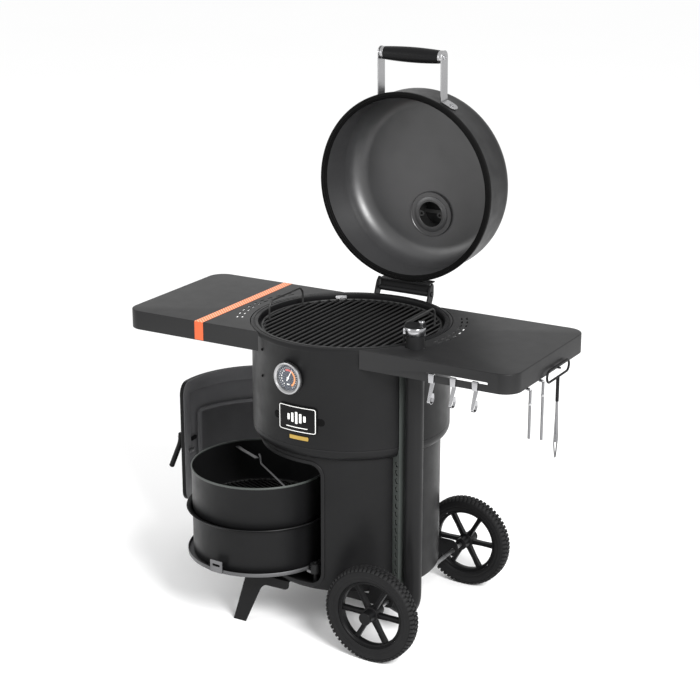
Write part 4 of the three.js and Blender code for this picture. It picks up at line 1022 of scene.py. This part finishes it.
def hinge():
    y, z = HINGE_PIN[1:]
    leaf = block((-86, 86), (296, 300), (LID_BASE + 3, LID_BASE + 50))
    tongue = block((-86, 86), (297, y + 3), (z + 4, z + 9))
    knuckle = lathe([(4.5, -86), (8.6, -86), (9, -85.6), (9, 85.6), (8.6, 86), (4.5, 86)], 40)
    knuckle = stood(knuckle, HINGE_PIN, 90, "Y")
    piece("lid_hinge_leaf", join(leaf, tongue, knuckle), bevel=0.6)
    heads = [stood(screw(5, 3), (x, 300, LID_BASE + 34), -90) for x in (-62, 0, 62)]
    extra("hinge_leaf_screws", join(*heads), "plastic", "black_paint", "lid")

    back = 301.5
    base = block((-100, 100), (back, back + 3), (842, 905))
    ear_outline = bend([
        (back, 845), (326, 890), (343, 924), (343, 957), (335, 965), (320, 951), (back, 905),
    ], 5, 4, closed=True)
    ears = [plate(ear_outline, start, start + 6, place=on_x) for start in (-96, 90)]
    pin = bar([(-90, y, z), (90, y, z)], 4, 24)
    piece("hinge_base", join(base, *ears, pin), bevel=0.6)
    heads = [stood(screw(5.5, 3.4), (x, back + 3, 868), -90) for x in (-72, -24, 24, 72)]
    nut = lathe([(0, 0), (8, 0), (8, 3), (6.6, 4.4), (0, 4.6)], 6)
    nuts = [stood(nut, (side * 96, y, z), 90 * side, "Y") for side in (-1, 1)]
    extra("hinge_base_bolts", join(*heads, *nuts), "plastic", "black_paint", "stand")


# ---- door ---------------------------------------------------------------------------------------------
def is_door_inside(face):
    """Whether a face of the closed door lies on its inner flange or on the inside of its skin."""
    distances = [p.xy.length for p in face]
    return max(distances) < 277.7 or 286.5 < min(distances) and max(distances) < 287.9


def door():
    shell = panel_shell(DOOR, [
        (290, -3), (289.6, -1.2), (288.6, -0.2), (287.4, 0), (276.4, 0), (275.4, -0.4), (275, -1.4),
        (275, -42.6), (275.5, -43.8), (277.5, -44), (277.5, -2.5), (287.5, -2.5),
    ])
    shaft_hole = placed(lathe([(0, -30), (6, -30), (6, 30), (0, 30)], 24), outwards(DOOR_OUTER, *LATCH))
    # painted light: the door's inner faces, and the liner below, take the enamel that is painted lighter
    piece("door_shell", carved(shell, shaft_hole), trims=[("door_inside_painted_light", is_door_inside)])
    liner = panel_shell(DOOR_LINER, [
        (280, 0), (279.4, 0), (278.5, -1), (278.5, -9), (279.4, -11), (279.4, -13), (280, -13),
    ])
    piece("door_liner", liner, look="door_inside_painted_light")
    door_hinge()
    door_latch()


def door_hinge():
    outer = DOOR_OUTER + 3.5
    section = [(290.9, 190), (outer, 190), (outer, 545), (290.9, 545)]
    strap = arc_sheet(section, -153.6, -136, 16)
    web = arc_sheet([(290.9, 190), (305, 190), (305, 545), (290.9, 545)], -153.6, -152.8, 2)
    knuckle = lathe([(6.2, 190), (11.4, 190), (12, 190.6), (12, 544.4), (11.4, 545), (6.2, 545)], 40)
    piece("door_hinge", join(strap, web, at(knuckle, *DOOR_PIVOT[:2], 0)), bevel=0.5)
    rivets = [placed(screw(5, 2.4), outwards(outer, -141, z)) for z in spread(215, 520, 4)]
    extra("hinge_rivets", join(*rivets), "black_paint", "black_paint", "door")

    post = lathe([(0, 166), (5.4, 166), (6, 166.6), (6, 568.4), (5.4, 569), (0, 569)], 32)
    arms = [arc_sheet([(270.3, z), (313, z), (313, z + 5), (270.3, z + 5)], -157.5, -153.5, 4)
            for z in (172, 552)]
    piece("door_post", join(at(post, *DOOR_PIVOT[:2], 0), *arms), bevel=0.5)


def door_latch():
    tongue = bend([(272, 325), (274.1, 325), (274.1, 341), (272, 341)], 0.5, 2, closed=True)
    piece("door_catch", arc_sheet(tongue, 2.8, 10, 10), look="steel")

    stem = join(
        lathe([(0, -11), (5, -11), (5, 36), (0, 36)], 32),
        lathe([(0, 0.3), (11.4, 0.3), (12, 1), (12, 6.4), (10.6, 8), (0, 8)], 40),
        plate([(a - 12.5, b) for a, b in stadium(35, 14)], -11, -7),
    )
    path = bend([polar(322, LATCH[0], 380), polar(324, LATCH[0], 348), polar(364, LATCH[0], 254)], 16, 8)
    lever = bar(path, 9, 24)
    stand = outwards(DOOR_OUTER, *LATCH)
    piece("door_latch", join(placed(stem, stand), lever))
    bolt = placed(lathe([(0, 36), (6, 36), (6, 41), (4.6, 42.4), (0, 42.6)], 32), stand)
    extra("latch_bolt", bolt, "steel", "plastic", "door_lever")


# ---- swing-out tray, ash pan and charcoal basket ------------------------------------------------------
def is_near_tray_pivot(face):
    return all((point - TRAY_PIVOT).xy.length < 24 for point in face)


def tray():
    low, floor = TRAY_BOTTOM, TRAY_BOTTOM + SHEET
    rim = lathe([
        (0, low), (221.6, low), (223.4, low + 0.6), (224, low + 2), (224, low + 11), (223.4, low + 12),
        (222.2, low + 12), (221.5, low + 11), (221.5, floor), (0, floor),
    ])
    x, y = TRAY_PIVOT.x, TRAY_PIVOT.y
    lug = lathe([
        (6.2, low - 4), (14.4, low - 4), (15, low - 3.4), (15, low + 25.4), (14.4, low + 26), (6.2, low + 26),
    ], 40)
    arm = block((-14, 14), (2 - TRAY_PIVOT.length, -222.8), (low - 4, low + 4))
    slot = [(a, low + 24 + b) for a, b in stadium(28, 8)]
    tab = plate([(a, low + 20 + b) for a, b in rectangle(44, 38, 2.5)], -226.4, -223.6, [slot], on_y)
    plain = plate([(a, low + 17.5 + b) for a, b in rectangle(36, 33, 2.5)], -226.4, -223.6, place=on_y)
    turns = ((arm, TRAY_TURN), (tab, -73), (plain, 125))
    arms = [placed(shape, turned(angle, "Z")) for shape, angle in turns]
    piece("tray", join(rim, at(lug, x, y, 0), *arms), trims=[
        ("black_paint", is_near_tray_pivot),
    ])
    post = lathe([
        (0, 159.8), (15, 159.8), (16, 160.6), (16, 163.5), (6, 163.5), (6, 234), (5, 235), (0, 235),
    ], 40)
    piece("tray_post", at(post, x, y, 0), look="black_paint")


def ash_pan():
    bottom, top = TRAY_BOTTOM + SHEET + 0.3, PAN_TOP
    pan = lathe([
        (0, bottom), (201, bottom), (204.4, bottom + 1.4), (206.4, bottom + 4), (207, bottom + 7),
        (207, top - 17), (208, top - 13), (211, top - 9.6), (216, top - 7), (224, top - 3.8),
        (225.5, top - 2), (224.6, top - 0.3), (222, top - 0.6), (212.5, top - 4.6), (207, top - 9),
        (205, top - 15), (205, bottom + 4), (203, bottom + 2), (0, bottom + 2),
    ])
    piece("ash_pan", pan)


def charcoal_basket():
    low, top = BASKET_BOTTOM, BASKET_TOP
    basket = lathe([
        (190.5, low), (200, low), (203, low + 1.6), (205.4, low + 6), (207, low + 12), (207, top - 8),
        (207.8, top - 6.6), (209.2, top - 5), (209.5, top - 2.6), (208.4, top - 0.4), (206.6, top),
        (205.2, top - 1), (205, top - 4), (205, low + 12), (203, low + 4), (201, low + 2), (190.5, low + 2),
    ])
    piece("charcoal_basket", basket, trims=[
        ("channel_paint", lambda face: min(point.z for point in face) > top - 7),
    ])

    start = low + 2.3
    ring = lathe([(196.5 + r, start + 3.6 + z) for r, z in circle(3.3, 12)])
    ends = [(x, sqrt(194 ** 2 - x * x)) for x in spread(-182, 182, 26)]
    rods = [bar([(x, -y, start + 5.2), (x, y, start + 5.2)], 2, 10) for x, y in ends]
    brace = bar([(-194, 0, start + 2.2), (194, 0, start + 2.2)], 2.1, 10)
    piece("charcoal_grate", join(ring, *rods, brace))

    turn = turned(-106, "Z")
    flat = [(-1.5, -5.6), (-1.1, -6), (1.1, -6), (1.5, -5.6), (1.5, 5.6), (1.1, 6), (-1.1, 6), (-1.5, 5.6)]
    path = bend([(-203, 0, 463), (-150, 0, 468), (-28, 0, 485)], 30, 8)
    piece("basket_bar", placed(sweep(path, flat, up=(0, 0, 1)), turn))
    path = bend([(-6, 0, 506), (4, 0, 502), (8, 0, 480), (203, 0, 479)], 8, 6)
    piece("basket_rod", placed(bar(path, 3, 16), turn))


# ---- cooking grate ------------------------------------------------------------------------------------
def cooking_grate():
    pitch, reach = 20.8, 264.5
    height = GRATE_BOTTOM + 5.4
    ring = lathe([(266.4 + r, GRATE_BOTTOM + 3.6 + z) for r, z in circle(3.5, 12)], 180)
    ends = [(i * pitch, sqrt(reach ** 2 - (i * pitch) ** 2)) for i in range(-12, 13)]
    bars = [bar([(x, -y, height), (x, y, height)], 2.6, 12) for x, y in ends]
    piece("cooking_grate", join(ring, *bars))
    foot, top, half = GRATE_BOTTOM + 7.9, 966, 95
    for name, side in (("left", -1), ("right", 1)):
        x = side * 11 * pitch
        path = bend([(x, -half, foot), (x, -half, top - 15), (x, 14 - half, top), (x, half - 14, top),
                     (x, half, top - 15), (x, half, foot)], 10, 6)
        piece(f"grate_handle_{name}", bar(path, 3, 16))
    section = bend([
        (263, 909.6), (276, 909.6), (276, 916), (274, 916), (274, 911.4), (263, 911.4),
    ], 0.6, 2, closed=True)
    extra("rim_clip", arc_sheet(section, 213.5, 220.5, 8), "steel", "cast_iron", "grill")


# ---- hooks and hanging tools --------------------------------------------------------------------------
def hanging():
    front = TABLE_FRONT
    outside, inside = front - 3, front + SHEET + 3.5
    middle, half = (outside + inside) / 2, (inside - outside) / 2
    over = [(middle - half * cos(radians(a)), 882 + 4 * sin(radians(a))) for a in spread(0, 180, 12)]
    curl = [(outside + 13.5 * cos(radians(a)), 815 + 14.5 * sin(radians(a))) for a in spread(200, 372, 24)]
    strap = [(-1, -8), (-0.5, -8.5), (0.5, -8.5), (1, -8), (1, 8), (0.5, 8.5), (-0.5, 8.5), (-1, 8)]
    for i, x in enumerate((399, 466, 533)):
        path = [(x, y, z) for y, z in [(outside, 861), *over, (inside, 854), *curl, (outside + 12, 828)]]
        narrowing = [8 - 4 * min(max((872 - z) / 40, 0), 1) for _, _, z in path]
        sections = [[(a, b * half_width / 8) for a, b in strap] for half_width in narrowing]
        piece(f"hook_{i + 1}", sweep(path, sections, up=(0, -1, 0)))

    inner = TABLE_END - SHEET - 5
    for name, y, bottom in (("hanging_rod_1", -155, 714), ("hanging_rod_2", -70, 683)):
        path = bend([(inner, y, 871), (inner, y, 857), (RACK, y, 857), (RACK, y, bottom)], 5, 6)
        piece(name, bar(path, 4, 24), look="rod_steel")
        collar = lathe([(0, 812), (4.3, 812), (4.6, 812.4), (4.6, 817.6), (4.3, 818), (0, 818)], 24)
        extra(f"{name}_collar", at(collar, RACK, y, 0), "steel", "steel", NODE_BODY[name])

    x, y, low, high = RACK + 3, 25, 843, 877
    middle, half = (low + high) / 2, 76 - 17
    ends = [[(x, y + side * (half + 17 * cos(radians(a))), middle + side * 17 * sin(radians(a)))
             for a in spread(-90, 90, 14)] for side in (1, -1)]
    loop = bar(ends[0] + ends[1], 3.4, 16, closed=True)
    sleeve = at(lathe([(0, 770), (4.6, 770), (5, 770.6), (5, 841), (4.2, 843.4), (0, 843.4)], 24), x, y, 0)
    piece("lifting_tool", join(loop, sleeve), look="plastic")
    stem = bar([(x, y, 771), (x, y, 647)], 4, 20)
    wire_path = bend([
        (x, y + 3, 769), (x, y + 13, 655), (x, y + 2, 601),
        (x, y - 2, 601), (x, y - 13, 645), (x, y - 3, 769),
    ], 9, 6)
    extra("lifting_tool_fork", join(stem, bar(wire_path, 2, 14)), "rod_steel", "steel", "tool")
    piece("tool_peg", bar([(TABLE_END + 0.3, y, 870), (TABLE_END + 17, y, 870)], 3, 20))


barrel()
tables()
intake()
gauge()
name_plate()
legs()
wheels()
lid()
lid_handle()
exhaust()
hinge()
door()
tray()
ash_pan()
charcoal_basket()
cooking_grate()
hanging()


# ---- floor, light and camera --------------------------------------------------------------------------
def studio():
    ground = bpy.data.meshes.new("floor")
    corners = [(x * FLOOR_REACH, y * FLOOR_REACH, 0) for x, y in ((-1, -1), (1, -1), (1, 1), (-1, 1))]
    ground.from_pydata(corners, [], [[0, 1, 2, 3]])
    floor = bpy.data.objects.new("floor", ground)
    bpy.context.scene.collection.objects.link(floor)
    pale = Nodes("pale_floor")
    tint = pale.mix(pale.noise(0.4, 2), (0.96, 0.96, 0.96), (0.98, 0.98, 0.98))
    pale.link(tint, pale.shader.inputs["Base Color"])
    pale.shader.inputs["Roughness"].default_value = 0.9
    pale.shader.inputs["Specular IOR Level"].default_value = 0.0
    ground.materials.append(pale.material)

    world = bpy.data.worlds.new("soft_white")
    world.use_nodes = True
    world.node_tree.nodes["Background"].inputs["Color"].default_value = (1, 1, 1, 1)
    world.node_tree.nodes["Background"].inputs["Strength"].default_value = 1.0
    bpy.context.scene.world = world
    bpy.context.scene.view_settings.view_transform = "Standard"

    for name, (place, aim, size, power) in LAMPS.items():
        lamp = bpy.data.lights.new(name, "AREA")
        lamp.shape, lamp.size, lamp.energy = "DISK", size, power
        light = bpy.data.objects.new(name, lamp)
        light.location = place
        light.rotation_euler = (Vector(aim) - Vector(place)).to_track_quat("-Z", "Y").to_euler()
        bpy.context.scene.collection.objects.link(light)

    lens = bpy.data.cameras.new("camera")
    lens.sensor_width, lens.lens = 36, FOCAL_LENGTH
    lens.clip_start, lens.clip_end = 0.1, 200
    camera = bpy.data.objects.new("camera", lens)
    eye, target = TO_FRAME @ Vector(EYE), TO_FRAME @ Vector(LOOK_AT)
    camera.location = eye
    camera.rotation_euler = (target - eye).to_track_quat("-Z", "Y").to_euler()
    bpy.context.scene.collection.objects.link(camera)
    bpy.context.scene.camera = camera


studio()
